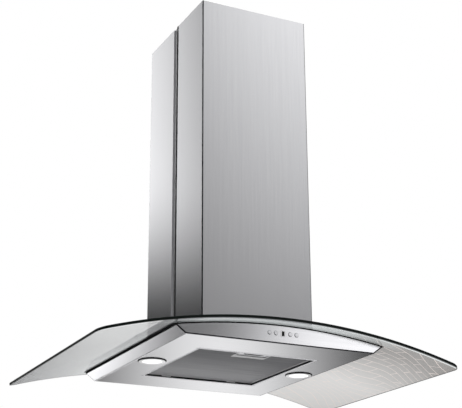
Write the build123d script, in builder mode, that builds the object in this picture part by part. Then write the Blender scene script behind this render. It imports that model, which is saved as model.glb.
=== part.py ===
"""Island range hood with a curved glass canopy, a telescoping flue and a swing-down grease filter.

Units are millimetres. The origin is the centre of the ceiling plate's top face, on the ceiling.
+Z is up, so the hood hangs below the origin. The controls face -Y, and +X is to the cook's right.
"""

import os
from math import sqrt

from build123d import *

os.makedirs("parts", exist_ok=True)

# Overall form
hood_height = 888.0  # ceiling to the underside of the bottom panel
sheet = 1.2  # covers, panels and airbox
seat_gap = 0.05  # between two curved faces that seat on each other
reveal = 0.8  # shadow gap between neighbouring panels

# Curved glass canopy
glass_width = 900.0
glass_depth = 650.0
glass_thickness = 6.0
glass_radius = 1545.0  # bend of the underside, about an axis along Y
glass_crown = 43.0  # underside at the middle, above the bottom panel's underside
glass_corner = 22.0
glass_edge = 0.8  # ground edge
glass_opening_width = 190.0
glass_opening_depth = 230.0
glass_opening_corner = 24.0
glass_hole_radius = 5.5

# Hood body under the glass
base_width = 474.0
base_depth = 566.0
side_flare = 24.0  # each side panel leans out by this much up to the glass
body_seal_thickness = 3.0
body_seal_width = 9.0
fascia_flange = 10.0
side_top_flange = 12.0
side_foot_flange = 8.0
panel_lip = 9.0

# Cross rails that clamp the glass to the airbox
rail_width = 24.0
rail_height = 12.0
rail_sheet = 1.5
rail_clearance = 0.3
rail_pad_length = 40.0
glass_bolt_spacing = 160.0  # between the two clamp bolts on one rail
bolt_radius = 3.0
bolt_clearance = 0.3
bolt_head_radius = 5.5
bolt_head_height = 2.8
nut_height = 4.5

# Visible flue
flue_width = 290.0
flue_depth = 330.0
flue_bend = 2.5
flue_foot_gap = 0.5
ceiling_gap = 1.0
seam_width = 26.0
seam_depth = 3.0
seam_flange = 14.0
seal_width = 6.5
seal_recess = 0.2
bracket_width = 30.0
bracket_height = 25.0
bracket_foot = 22.0
bracket_spacing = 140.0

# Inner flue and ceiling frame
flue_step = 6.0  # the inner flue is this much smaller on every side
inner_flue_length = 600.0
inner_seam_gap = 1.0
plate_thickness = 3.0
plate_clearance = 0.3
plate_tab_width = 40.0
plate_tab_height = 24.0
duct_opening_width = 200.0
duct_opening_depth = 220.0
duct_opening_corner = 20.0
ceiling_hole_spacing_x = 160.0
ceiling_hole_spacing_y = 270.0
ceiling_hole_radius = 4.5
flue_screw_radius = 2.0
flue_screw_head_radius = 3.8
flue_screw_head_height = 1.8
flue_screw_spacing = 160.0
flue_screw_drop = 14.0  # below the ceiling
post_leg = 19.0
post_sheet = 2.0
post_inset = 5.5  # inner flue to the upper posts
post_gap = 0.3  # upper posts to lower posts
post_foot = 3.0
upper_post_length = 480.0
lower_post_top = 100.0  # below the ceiling
height_travel = 300.0
frame_bolt_lift = 40.0  # above the lower end of the upper posts
slot_end_gap = 0.3  # clamp bolt to the end of its slot, at either end of the travel

# Airbox
airbox_height = 255.0
airbox_post_gap = 1.0
airbox_flange_gap = 6.0  # airbox flange to the flue
airbox_seal_thickness = 1.5  # at the crown of the glass
airbox_seal_overhang = 5.0  # glass opening to the seal

# Blower
wheel_radius = 70.0
wheel_width = 100.0
wheel_disc = 1.6
wheel_ring = 3.0
blade_count = 32
blade_depth = 14.0
blade_sheet = 0.8
blade_bow = 3.0
hub_radius = 11.0
hub_length = 16.0
shaft_radius = 4.0
shaft_fit = 0.02
shaft_running_gap = 0.05
scroll_wall = 1.5
scroll_side_gap = 5.0
scroll_growth = 14.0  # the volute's radius grows by this much each quarter turn
scroll_cutoff = 10.0  # wheel to the volute at its start
tongue_offset = 20.0
scroll_front_gap = 2.3  # scroll to the airbox's front wall
wheel_lift = 125.0  # wheel axis above the airbox flange
inlet_radius = 58.0
inlet_lip = 4.0
motor_radius = 42.0
motor_length = 60.0
motor_round = 3.0
motor_flange_radius = 50.0
motor_flange_thickness = 3.0
motor_disc_gap = 5.0
bracket_arm_width = 14.0
bracket_arm_length = 74.0  # from the motor's axis
bracket_arms = 3
bracket_thickness = 3.0
bracket_bore_gap = 0.3
adapter_height = 48.0
adapter_wall = 1.5

# Outlet collar with its non-return flaps
collar_diameter = 149.0
collar_wall = 1.5
collar_height = 50.0
collar_flange = 10.0
damper_lift = 20.0
damper_rod_radius = 2.0
rod_end_gap = 0.2  # the rod's ends stay inside the spigot's face
knuckle_radius = 4.0
knuckle_length = 20.0
knuckle_pitch = 30.0
knuckle_gap = 0.06
flap_thickness = 1.2
flap_gap = 0.8
flap_setback = 5.0

# Electrical boxes on the airbox
terminal_width = 90.0
terminal_depth = 24.0
terminal_height = 60.0
terminal_drop = 110.0  # airbox top to the middle of the box
terminal_lid = 2.0
terminal_corner = 4.0
gland_radius = 9.0
gland_height = 18.0
gland_offset = 26.0
gland_bore = 4.0
gland_round = 3.0
capacitor_radius = 12.0
capacitor_length = 70.0
capacitor_clip = 8.0
capacitor_round = 1.2
transformer_width = 80.0
transformer_depth = 24.0
transformer_height = 40.0
transformer_drop = 185.0
transformer_ear = 12.0
transformer_ear_thickness = 2.0
transformer_hole_radius = 1.5
transformer_corner = 2.0

# Lamps
lamp_inset = 40.0  # lamp axis to the bottom panel's side
lamp_bezel_radius = 34.0
lamp_bezel_proud = 2.4
lamp_lens_radius = 26.0
lamp_lens_thickness = 2.2
lamp_lens_bulge = 1.2
lamp_ledge = 1.6
lamp_cup_radius = 28.0
lamp_cup_wall = 0.8
lamp_cup_height = 21.0
lamp_hole_gap = 0.6
lamp_collar_height = 6.0
lamp_collar_wall = 1.4
bulb_radius = 4.5
bulb_length = 10.0
bulb_base_radius = 6.0

# Controls on the front fascia
control_height = 23.0  # above the bottom panel's underside
button_diameter = 9.0
button_proud = 1.5
button_travel = 1.0
button_gap = 0.4
button_flange_radius = 6.0
button_flange_thickness = 1.2
button_stem_radius = 2.0
button_crown = 0.5
button_inner_offset = 18.0  # from the middle of the display
button_pitch = 16.0
display_width = 11.0
display_height = 12.0
display_gap = 0.2
display_proud = 0.3
display_rim = 1.6
display_rim_thickness = 1.5
housing_width = 98.0
housing_height = 22.0
housing_depth = 9.8
housing_corner = 1.2
board_width = 92.0
board_height = 20.0
board_thickness = 1.6
board_standoff = 4.0
standoff_radius = 2.5
standoff_spacing = 84.0
switch_size = 6.0
switch_height = 3.0

# Grease filter and the opening that holds it
filter_side_border = 87.0  # bottom panel left beside the opening, for the lamps
filter_opening_depth = 330.0
filter_lip = 14.0
filter_recess = 4.0
filter_side_gap = 2.0
filter_end_gap = 3.0
filter_thickness = 9.0
filter_border = 6.0
filter_wall = 1.0
core_sheet = 0.8
core_pleats = 32
core_fit = 0.4
relief_length = 9.0
relief_width = 1.6
tongue_spacing = 180.0
tongue_width = 24.0
tongue_bead = 2.0
tongue_sheet = 1.2
tongue_gap = 0.3
latch_width = 80.0
latch_length = 42.0
latch_sheet = 1.2
latch_lift = 1.4
latch_travel = 6.0
latch_tongue_width = 24.0
latch_reach = 3.0  # tongue past the opening's front lip
latch_slot_width = 50.0
latch_slot_length = 16.0
latch_grip = 4.0
latch_clearance = 0.6
latch_slot_gap = 0.3  # above and below the tongue in the frame's wall
tray_side_gap = 2.0
tray_lip = 3.0
tray_lip_sheet = 0.8
spring_sheet = 0.5
spring_height = 4.0
spring_span = 44.0
spring_left = 7.0  # room for the spring with the latch fully drawn
spring_gap = 0.3

# Heights and places that follow from the sizes above
bottom_z = -hood_height
glass_under_z = bottom_z + glass_crown
glass_top_z = glass_under_z + glass_thickness
bend_centre_z = glass_under_z - glass_radius
glass_top_radius = glass_radius + glass_thickness
seal_radius = glass_radius - body_seal_thickness
half_base = base_width / 2
half_depth = base_depth / 2
half_top = half_base + side_flare
lamp_spacing = base_width - 2 * lamp_inset
filter_opening_width = base_width - 2 * filter_side_border
flange_z = glass_top_z + airbox_seal_thickness
airbox_top_z = flange_z + airbox_height
flue_inner_x = flue_width / 2 - sheet
flue_inner_y = flue_depth / 2 - sheet
inner_flue_x = flue_width / 2 - flue_step
inner_flue_y = flue_depth / 2 - flue_step
plate_half_x = inner_flue_x - sheet - plate_clearance
plate_half_y = inner_flue_y - sheet - plate_clearance
upper_post_x = inner_flue_x - sheet - post_inset
upper_post_y = inner_flue_y - sheet - post_inset
lower_post_x = upper_post_x - post_sheet - post_gap
lower_post_y = upper_post_y - post_sheet - post_gap
airbox_width = 2 * (lower_post_x - post_leg - airbox_post_gap)
airbox_depth = 2 * (lower_post_y - post_leg - airbox_post_gap)
flange_width = 2 * (flue_inner_x - airbox_flange_gap)
flange_depth = 2 * (flue_inner_y - airbox_flange_gap)
rail_spacing = (airbox_width + flange_width) / 2
wheel_z = flange_z + wheel_lift
fascia_face_y = -half_depth
fascia_back_y = fascia_face_y + sheet
control_z = bottom_z + control_height
button_outer_offset = button_inner_offset + button_pitch
button_offsets = (-button_outer_offset, -button_inner_offset, button_inner_offset, button_outer_offset)
filter_bottom_z = bottom_z + filter_recess
hinge_y = filter_opening_depth / 2 + sheet / 2
hinge_z = filter_bottom_z + tongue_sheet / 2
filter_half_x = filter_opening_width / 2 - filter_side_gap
filter_half_y = filter_opening_depth / 2 - filter_end_gap


def bend_z(radius, x):
    """Height of an arc about the glass's bending axis, at the given X."""
    return bend_centre_z + sqrt(radius**2 - x**2)


def glass_band(low_radius, high_radius, half_width):
    """Upright face between two arcs about the glass's bending axis."""
    with BuildSketch(Plane.XZ) as band:
        with BuildLine():
            low_end = bend_z(low_radius, half_width)
            high_end = bend_z(high_radius, half_width)
            low_crown = (0, bend_z(low_radius, 0))
            high_crown = (0, bend_z(high_radius, 0))
            low = ThreePointArc((-half_width, low_end), low_crown, (half_width, low_end))
            high = ThreePointArc((-half_width, high_end), high_crown, (half_width, high_end))
            Line(low @ 0, high @ 0)
            Line(low @ 1, high @ 1)
        make_face()
    return band.sketch


def bent_sheet(points, bend, thickness, side):
    """Outline of a sheet bent along a path of points, drawn flat on XY."""
    with BuildSketch() as outline:
        with BuildLine():
            FilletPolyline(*points, radius=bend)
            offset(amount=thickness, side=side)
        make_face()
    return outline.sketch


def folded_sheet(points, thickness, side):
    """Outline of a sheet folded sharply along a path of points, drawn flat on XY."""
    with BuildSketch() as outline:
        with BuildLine():
            Polyline(*points)
            offset(amount=thickness, side=side, kind=Kind.INTERSECTION)
        make_face()
    return outline.sketch


# Ceiling plate: a ring that bolts to the ceiling and leaves the duct free
with BuildPart() as ceiling_plate:
    with BuildSketch():
        RectangleRounded(2 * plate_half_x, 2 * plate_half_y, flue_bend)
        RectangleRounded(duct_opening_width, duct_opening_depth, duct_opening_corner, mode=Mode.SUBTRACT)
        with GridLocations(ceiling_hole_spacing_x, ceiling_hole_spacing_y, 2, 2):
            Circle(ceiling_hole_radius, mode=Mode.SUBTRACT)
        with GridLocations(2 * upper_post_x - post_leg, 2 * upper_post_y - post_leg, 2, 2):
            Circle(bolt_radius + bolt_clearance, mode=Mode.SUBTRACT)
    extrude(amount=-plate_thickness)
    with BuildSketch(Plane.XY.offset(-plate_thickness)):
        with GridLocations(2 * plate_half_x - plate_thickness, flue_screw_spacing, 2, 2):
            Rectangle(plate_thickness, plate_tab_width)
    extrude(amount=plate_thickness - plate_tab_height)
    with BuildSketch(Plane.YZ):
        with GridLocations(flue_screw_spacing, 2 * flue_screw_drop, 2, 2):
            Circle(flue_screw_radius)
    extrude(amount=inner_flue_x, both=True, mode=Mode.SUBTRACT)
ceiling_plate.part.label = "ceiling_plate"
export_step(ceiling_plate.part, "parts/ceiling_plate.step")

# Four upper posts, each an angle with a foot under the ceiling plate
frame_bolt_z = frame_bolt_lift - plate_thickness - upper_post_length
frame_bolt_y = lower_post_y - post_leg / 2
with BuildPart() as upper_posts:
    with BuildSketch(Plane.XY.offset(-plate_thickness)):
        with GridLocations(2 * upper_post_x - post_leg, 2 * upper_post_y - post_leg, 2, 2):
            Rectangle(post_leg, post_leg)
    extrude(amount=-upper_post_length)
    with BuildSketch(Plane.XY.offset(-plate_thickness - post_foot)):
        Rectangle(2 * (upper_post_x - post_sheet), 2 * (upper_post_y - post_sheet))
    extrude(amount=-upper_post_length, mode=Mode.SUBTRACT)
    with BuildSketch(Plane.XY.offset(-plate_thickness)):
        with GridLocations(2 * upper_post_x - post_leg, 2 * upper_post_y - post_leg, 2, 2):
            Circle(bolt_radius + bolt_clearance)
    extrude(amount=-post_foot, mode=Mode.SUBTRACT)
    with BuildSketch(Plane.YZ.offset(-upper_post_x)):
        with Locations((-frame_bolt_y, frame_bolt_z), (frame_bolt_y, frame_bolt_z)):
            Circle(bolt_radius + bolt_clearance)
    extrude(amount=2 * upper_post_x, mode=Mode.SUBTRACT)
upper_posts.part.label = "upper_posts"
export_step(upper_posts.part, "parts/upper_posts.step")

# Bolts of the ceiling frame: four up into the plate, four that clamp the posts together
with BuildPart() as upper_frame_bolts:
    with BuildSketch(Plane.XY.offset(-plate_thickness - post_foot)):
        with GridLocations(2 * upper_post_x - post_leg, 2 * upper_post_y - post_leg, 2, 2):
            RegularPolygon(bolt_head_radius, 6)
    extrude(amount=-bolt_head_height)
    with BuildSketch(Plane.XY.offset(-plate_thickness - post_foot)):
        with GridLocations(2 * upper_post_x - post_leg, 2 * upper_post_y - post_leg, 2, 2):
            Circle(bolt_radius)
    extrude(amount=post_foot + plate_thickness - bolt_clearance)
    for side in (-1, 1):
        head_place = (side * upper_post_x, 0, frame_bolt_z)
        outward = Plane(origin=head_place, x_dir=(0, 1, 0), z_dir=(side, 0, 0))
        nut_face = 2 * (post_sheet + post_gap)
        with BuildSketch(outward):
            with GridLocations(2 * frame_bolt_y, 0, 2, 1):
                Circle(bolt_head_radius)
        extrude(amount=bolt_head_height)
        with BuildSketch(outward):
            with GridLocations(2 * frame_bolt_y, 0, 2, 1):
                Circle(bolt_radius)
        extrude(amount=-nut_face)
        with BuildSketch(outward.offset(-nut_face)):
            with GridLocations(2 * frame_bolt_y, 0, 2, 1):
                RegularPolygon(bolt_head_radius, 6)
        extrude(amount=-nut_height)
upper_frame_bolts.part.label = "upper_frame_bolts"
export_step(upper_frame_bolts.part, "parts/upper_frame_bolts.step")

# Inner flue: two bent halves that hang from the ceiling plate's tabs
for name, facing in (("upper_flue_front", -1), ("upper_flue_rear", 1)):
    with BuildPart() as upper_flue:
        with BuildSketch(Plane.XY.offset(-ceiling_gap)):
            seam_y = facing * inner_seam_gap / 2
            face_y = facing * inner_flue_y
            corners = [
                (-inner_flue_x, seam_y),
                (-inner_flue_x, face_y),
                (inner_flue_x, face_y),
                (inner_flue_x, seam_y),
            ]
            add(bent_sheet(corners, flue_bend, sheet, Side.LEFT if facing < 0 else Side.RIGHT))
        extrude(amount=ceiling_gap - inner_flue_length)
        with BuildSketch(Plane.YZ):
            with Locations((facing * flue_screw_spacing / 2, -flue_screw_drop)):
                Circle(flue_screw_radius)
        extrude(amount=flue_width, both=True, mode=Mode.SUBTRACT)
    upper_flue.part.label = name
    export_step(upper_flue.part, f"parts/{name}.step")

# Four screws that hold the inner flue to the ceiling plate
with BuildPart() as upper_flue_screws:
    for side in (-1, 1):
        head_place = (side * inner_flue_x, 0, -flue_screw_drop)
        outward = Plane(origin=head_place, x_dir=(0, 1, 0), z_dir=(side, 0, 0))
        with BuildSketch(outward):
            with GridLocations(flue_screw_spacing, 0, 2, 1):
                Circle(flue_screw_head_radius)
        extrude(amount=flue_screw_head_height)
        with BuildSketch(outward):
            with GridLocations(flue_screw_spacing, 0, 2, 1):
                Circle(flue_screw_radius)
        extrude(amount=-(sheet + plate_clearance + plate_thickness))
upper_flue_screws.part.label = "upper_flue_screws"
export_step(upper_flue_screws.part, "parts/upper_flue_screws.step")

# Four lower posts, nested in the upper ones, slotted for the clamp bolts
flange_top_z = flange_z + sheet
slot_middle_z = frame_bolt_z + height_travel / 2
slot_length = height_travel + 2 * (bolt_radius + bolt_clearance + slot_end_gap)
with BuildPart() as lower_posts:
    with BuildSketch(Plane.XY.offset(flange_top_z)):
        with GridLocations(2 * lower_post_x - post_leg, 2 * lower_post_y - post_leg, 2, 2):
            Rectangle(post_leg, post_leg)
    extrude(amount=-lower_post_top - flange_top_z)
    with BuildSketch(Plane.XY.offset(flange_top_z + post_foot)):
        Rectangle(2 * (lower_post_x - post_sheet), 2 * (lower_post_y - post_sheet))
    extrude(amount=-lower_post_top - flange_top_z, mode=Mode.SUBTRACT)
    with BuildSketch(Plane.XY.offset(flange_top_z)):
        with GridLocations(2 * lower_post_x - post_leg, 2 * lower_post_y - post_leg, 2, 2):
            Circle(bolt_radius + bolt_clearance)
    extrude(amount=post_foot, mode=Mode.SUBTRACT)
    with BuildSketch(Plane.YZ.offset(-lower_post_x)):
        with Locations((-frame_bolt_y, slot_middle_z), (frame_bolt_y, slot_middle_z)):
            SlotOverall(slot_length, 2 * (bolt_radius + bolt_clearance), rotation=90)
    extrude(amount=2 * lower_post_x, mode=Mode.SUBTRACT)
lower_posts.part.label = "lower_posts"
export_step(lower_posts.part, "parts/lower_posts.step")

# Bolts through the lower posts' feet into the airbox flange
with BuildPart() as post_foot_bolts:
    with BuildSketch(Plane.XY.offset(flange_top_z + post_foot)):
        with GridLocations(2 * lower_post_x - post_leg, 2 * lower_post_y - post_leg, 2, 2):
            RegularPolygon(bolt_head_radius, 6)
    extrude(amount=bolt_head_height)
    with BuildSketch(Plane.XY.offset(flange_top_z + post_foot)):
        with GridLocations(2 * lower_post_x - post_leg, 2 * lower_post_y - post_leg, 2, 2):
            Circle(bolt_radius)
    extrude(amount=-(post_foot + sheet))
post_foot_bolts.part.label = "post_foot_bolts"
export_step(post_foot_bolts.part, "parts/post_foot_bolts.step")

# Glass canopy: a bent pane with an air opening and four clamp holes
with BuildPart() as glass_canopy:
    pane_section = glass_band(glass_radius, glass_top_radius, glass_width / 2 + glass_corner)
    extrude(pane_section, glass_depth / 2, both=True)
    with BuildSketch(Plane.XY.offset(glass_top_z)):
        RectangleRounded(glass_width, glass_depth, glass_corner)
    extrude(amount=-glass_width / 2, mode=Mode.INTERSECT)
    rims = glass_canopy.faces().filter_by(GeomType.CYLINDER).sort_by(SortBy.AREA)[-2:].edges()
    chamfer(rims, glass_edge)
    with BuildSketch(Plane.XY.offset(glass_top_z)):
        RectangleRounded(glass_opening_width, glass_opening_depth, glass_opening_corner)
        with GridLocations(rail_spacing, glass_bolt_spacing, 2, 2):
            Circle(glass_hole_radius)
    extrude(amount=-glass_crown, mode=Mode.SUBTRACT)
glass_canopy.part.label = "glass_canopy"
export_step(glass_canopy.part, "parts/glass_canopy.step")

# Black seal between the hood body and the glass
with BuildPart() as body_seal:
    extrude(glass_band(seal_radius, glass_radius - seat_gap, half_top), half_depth, both=True)
    with BuildSketch(Plane.XY.offset(bottom_z)):
        Rectangle(2 * (half_top - body_seal_width), 2 * (half_depth - body_seal_width))
    extrude(amount=glass_crown, mode=Mode.SUBTRACT)
body_seal.part.label = "body_seal"
export_step(body_seal.part, "parts/body_seal.step")

# Front and rear fascias: flat below, arched under the glass, with a folded top flange
side_top_z = bend_z(seal_radius, half_top)
for name, facing in (("front_fascia", -1), ("rear_fascia", 1)):
    with BuildPart() as fascia:
        with BuildSketch(Plane.XZ.offset(-facing * half_depth)):
            with BuildLine():
                crown = (0, bend_z(seal_radius, 0))
                top = ThreePointArc((-half_top, side_top_z), crown, (half_top, side_top_z))
                Polyline(top @ 0, (-half_base, bottom_z), (half_base, bottom_z), top @ 1)
            make_face()
        extrude(amount=facing * sheet)
        flange_half = half_top - side_top_flange - reveal
        flange = glass_band(seal_radius - sheet, seal_radius, flange_half)
        extrude(flange.moved(Location((0, facing * (half_depth - sheet), 0))), facing * fascia_flange)
        if facing < 0:
            with BuildSketch(Plane.XZ.offset(half_depth)):
                with Locations(*[(x, control_z) for x in button_offsets]):
                    Circle(button_diameter / 2 + button_gap)
                with Locations((0, control_z)):
                    Rectangle(display_width, display_height)
            extrude(amount=-sheet, mode=Mode.SUBTRACT)
    fascia.part.label = name
    export_step(fascia.part, f"parts/{name}.step")

# Leaning side panels: one sheet folded in at the foot and under the glass
side_rise = side_top_z - bottom_z
side_run = sqrt(side_flare**2 + side_rise**2)
side_cut = sheet * side_run / side_rise  # the leaning sheet measured level


def side_inner_x(z):
    """Level distance from the middle to a side panel's inner face, at height z."""
    return half_base + side_flare * (z - bottom_z) / side_rise - side_cut


for name, side in (("left_side_panel", -1), ("right_side_panel", 1)):
    with BuildPart() as side_panel:
        with BuildSketch(Plane.XZ):
            with BuildLine():
                lid_x = half_top - side_top_flange
                lid_z = bend_z(seal_radius, lid_x)
                foot_x = half_base - side_foot_flange
                outline = [
                    (half_base, bottom_z),
                    (half_top, side_top_z),
                    (lid_x, lid_z),
                    (lid_x, lid_z - sheet),
                    (side_inner_x(side_top_z - sheet), side_top_z - sheet),
                    (side_inner_x(bottom_z + 2 * sheet), bottom_z + 2 * sheet),
                    (foot_x, bottom_z + 2 * sheet),
                    (foot_x, bottom_z + sheet),
                    (side_inner_x(bottom_z + sheet), bottom_z + sheet),
                    (side_inner_x(bottom_z), bottom_z),
                ]
                Polyline(*[(side * x, z) for x, z in outline], close=True)
            make_face()
        extrude(amount=half_depth - sheet - reveal, both=True)
    side_panel.part.label = name
    export_step(side_panel.part, f"parts/{name}.step")

# Bottom panel: a tray with the lipped filter opening and the lamp holes
panel_half_x = side_inner_x(bottom_z) - reveal
panel_half_y = half_depth - sheet - reveal
lamp_hole_radius = lamp_cup_radius + lamp_collar_wall + lamp_hole_gap
opening_x = filter_opening_width / 2
opening_y = filter_opening_depth / 2
latch_z = filter_bottom_z + latch_lift
with BuildPart() as bottom_panel:
    with BuildSketch(Plane.XY.offset(bottom_z)):
        Rectangle(2 * panel_half_x, 2 * panel_half_y)
        with GridLocations(lamp_spacing, 0, 2, 1):
            Circle(lamp_hole_radius, mode=Mode.SUBTRACT)
    extrude(amount=sheet)
    with BuildSketch(Plane.XY.offset(bottom_z)):
        with GridLocations(0, 2 * panel_half_y - sheet, 1, 2):
            Rectangle(2 * (half_base - side_foot_flange - reveal), sheet)
    extrude(amount=panel_lip)
    with BuildSketch(Plane.XY.offset(bottom_z)):
        Rectangle(2 * (opening_x + sheet), 2 * (opening_y + sheet))
    extrude(amount=filter_lip)
    with BuildSketch(Plane.XY.offset(bottom_z)):
        Rectangle(2 * opening_x, 2 * opening_y)
    extrude(amount=filter_lip, mode=Mode.SUBTRACT)
    with BuildSketch(Plane.XY.offset(bottom_z)):
        with GridLocations(2 * opening_x + relief_length, 2 * opening_y - relief_width, 2, 2):
            Rectangle(relief_length, relief_width)
    extrude(amount=sheet, mode=Mode.SUBTRACT)
    with BuildSketch(Plane.XZ.offset(-opening_y)):
        with Locations((-tongue_spacing / 2, hinge_z), (tongue_spacing / 2, hinge_z)):
            Rectangle(tongue_width + 2 * tongue_gap, 2 * (tongue_bead + tongue_gap))
    extrude(amount=-sheet, mode=Mode.SUBTRACT)
    with BuildSketch(Plane.XZ.offset(opening_y)):
        with Locations((0, latch_z + latch_sheet / 2)):
            Rectangle(latch_tongue_width + 2 * latch_clearance, latch_sheet + 2 * latch_clearance)
    extrude(amount=sheet, mode=Mode.SUBTRACT)
bottom_panel.part.label = "bottom_panel"
export_step(bottom_panel.part, "parts/bottom_panel.step")

# Two cross rails under the glass, from fascia to fascia
rail_top_z = bend_z(seal_radius, rail_spacing / 2 + rail_width / 2) - sheet - rail_clearance
with BuildPart() as cross_rails:
    rail_section = [
        (-rail_width / 2, -rail_height),
        (-rail_width / 2, 0),
        (rail_width / 2, 0),
        (rail_width / 2, -rail_height),
    ]
    with BuildSketch(Plane.XZ):
        with Locations((-rail_spacing / 2, rail_top_z), (rail_spacing / 2, rail_top_z)):
            add(folded_sheet(rail_section, rail_sheet, Side.RIGHT))
    extrude(amount=half_depth - sheet, both=True)
    with BuildSketch(Plane.XY.offset(rail_top_z)):
        with GridLocations(rail_spacing, glass_bolt_spacing, 2, 2):
            Circle(bolt_radius + bolt_clearance)
    extrude(amount=-rail_sheet, mode=Mode.SUBTRACT)
cross_rails.part.label = "cross_rails"
export_step(cross_rails.part, "parts/cross_rails.step")

# Rubber pads between the rails and the glass, arched to its underside
with BuildPart() as rail_pads:
    with BuildSketch(Plane.XY.offset(rail_top_z)):
        with GridLocations(rail_spacing, glass_bolt_spacing, 2, 2):
            Rectangle(rail_width, rail_pad_length)
            Circle(bolt_radius + bolt_clearance, mode=Mode.SUBTRACT)
    extrude(amount=glass_crown)
    glass_space = glass_band(glass_radius - seat_gap, glass_radius + glass_crown, half_top)
    extrude(glass_space, half_depth, both=True, mode=Mode.SUBTRACT)
rail_pads.part.label = "rail_pads"
export_step(rail_pads.part, "parts/rail_pads.step")

# Airbox: a box open below, standing on the glass with an outward flange
with BuildPart() as airbox:
    with BuildSketch(Plane.XY.offset(flange_z)):
        Rectangle(airbox_width, airbox_depth)
    extrude(amount=airbox_height)
    offset(amount=-sheet, openings=airbox.faces().sort_by(Axis.Z)[0])
    with BuildSketch(Plane.XY.offset(flange_z)):
        Rectangle(flange_width, flange_depth)
        Rectangle(airbox_width, airbox_depth, mode=Mode.SUBTRACT)
        with GridLocations(rail_spacing, glass_bolt_spacing, 2, 2):
            Circle(bolt_radius + bolt_clearance, mode=Mode.SUBTRACT)
        with GridLocations(2 * lower_post_x - post_leg, 2 * lower_post_y - post_leg, 2, 2):
            Circle(bolt_radius + bolt_clearance, mode=Mode.SUBTRACT)
    extrude(amount=sheet)
    with BuildSketch(Plane.XY.offset(airbox_top_z)):
        Circle(collar_diameter / 2 - collar_wall)
    extrude(amount=-sheet, mode=Mode.SUBTRACT)
airbox.part.label = "airbox"
export_step(airbox.part, "parts/airbox.step")

# Seal between the airbox flange and the glass, flat above and arched below
with BuildPart() as airbox_seal:
    with BuildSketch(Plane.XY.offset(flange_z)):
        Rectangle(flange_width, flange_depth)
        opening_width = glass_opening_width + 2 * airbox_seal_overhang
        opening_depth = glass_opening_depth + 2 * airbox_seal_overhang
        RectangleRounded(opening_width, opening_depth, glass_opening_corner, mode=Mode.SUBTRACT)
        with GridLocations(rail_spacing, glass_bolt_spacing, 2, 2):
            Circle(bolt_radius + bolt_clearance, mode=Mode.SUBTRACT)
    extrude(amount=-glass_crown)
    glass_space = glass_band(glass_radius - glass_crown, glass_top_radius + seat_gap, half_top)
    extrude(glass_space, half_depth, both=True, mode=Mode.SUBTRACT)
airbox_seal.part.label = "airbox_seal"
export_step(airbox_seal.part, "parts/airbox_seal.step")

# Clamp bolts: head on the airbox flange, nut under the rail
clamp_length = flange_top_z - rail_top_z + rail_sheet
with BuildPart() as glass_bolts:
    with BuildSketch(Plane.XY.offset(flange_top_z)):
        with GridLocations(rail_spacing, glass_bolt_spacing, 2, 2):
            RegularPolygon(bolt_head_radius, 6)
    extrude(amount=bolt_head_height)
    with BuildSketch(Plane.XY.offset(flange_top_z)):
        with GridLocations(rail_spacing, glass_bolt_spacing, 2, 2):
            Circle(bolt_radius)
    extrude(amount=-clamp_length)
    with BuildSketch(Plane.XY.offset(rail_top_z - rail_sheet)):
        with GridLocations(rail_spacing, glass_bolt_spacing, 2, 2):
            RegularPolygon(bolt_head_radius, 6)
    extrude(amount=-nut_height)
glass_bolts.part.label = "glass_bolts"
export_step(glass_bolts.part, "parts/glass_bolts.step")

# Visible flue: a front and a rear half, bent from sheet and scribed to the glass below
flue_scribe = glass_band(glass_radius - glass_crown, glass_top_radius + flue_foot_gap, half_top)
for name, facing in (("flue_front_cover", -1), ("flue_rear_cover", 1)):
    with BuildPart() as flue_cover:
        with BuildSketch(Plane.XY.offset(-ceiling_gap)):
            seam_y = facing * seam_width / 2
            face_y = facing * flue_depth / 2
            corners = [
                (-flue_width / 2, seam_y),
                (-flue_width / 2, face_y),
                (flue_width / 2, face_y),
                (flue_width / 2, seam_y),
            ]
            add(bent_sheet(corners, flue_bend, sheet, Side.LEFT if facing < 0 else Side.RIGHT))
        extrude(amount=glass_under_z + ceiling_gap)
        extrude(flue_scribe, half_depth, both=True, mode=Mode.SUBTRACT)
    flue_cover.part.label = name
    export_step(flue_cover.part, f"parts/{name}.step")

# Recessed strips that join the flue halves inside the side seams
seam_x = flue_width / 2 - seam_depth
with BuildPart() as seam_strips:
    strip_path = [
        (flue_inner_x, -seam_width / 2 - seam_flange),
        (flue_inner_x, -seam_width / 2),
        (seam_x, -seam_width / 2),
        (seam_x, seam_width / 2),
        (flue_inner_x, seam_width / 2),
        (flue_inner_x, seam_width / 2 + seam_flange),
    ]
    strip = folded_sheet(strip_path, sheet, Side.LEFT)
    with BuildSketch(Plane.XY.offset(-ceiling_gap)):
        add(strip)
        add(mirror(strip, about=Plane.YZ, mode=Mode.PRIVATE))
    extrude(amount=glass_under_z + ceiling_gap)
    extrude(flue_scribe, half_depth, both=True, mode=Mode.SUBTRACT)
seam_strips.part.label = "seam_strips"
export_step(seam_strips.part, "parts/seam_strips.step")

# Black seals along the front half's edges, in the seam recesses
with BuildPart() as seam_seals:
    with BuildSketch(Plane.XY.offset(-ceiling_gap)):
        seal_middle = (flue_width / 2 - seal_recess + seam_x) / 2
        with Locations((0, (seal_width - seam_width) / 2)):
            with GridLocations(2 * seal_middle, 0, 2, 1):
                Rectangle(seam_depth - seal_recess, seal_width)
    extrude(amount=glass_under_z + ceiling_gap)
    extrude(flue_scribe, half_depth, both=True, mode=Mode.SUBTRACT)
seam_seals.part.label = "seam_seals"
export_step(seam_seals.part, "parts/seam_seals.step")

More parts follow.
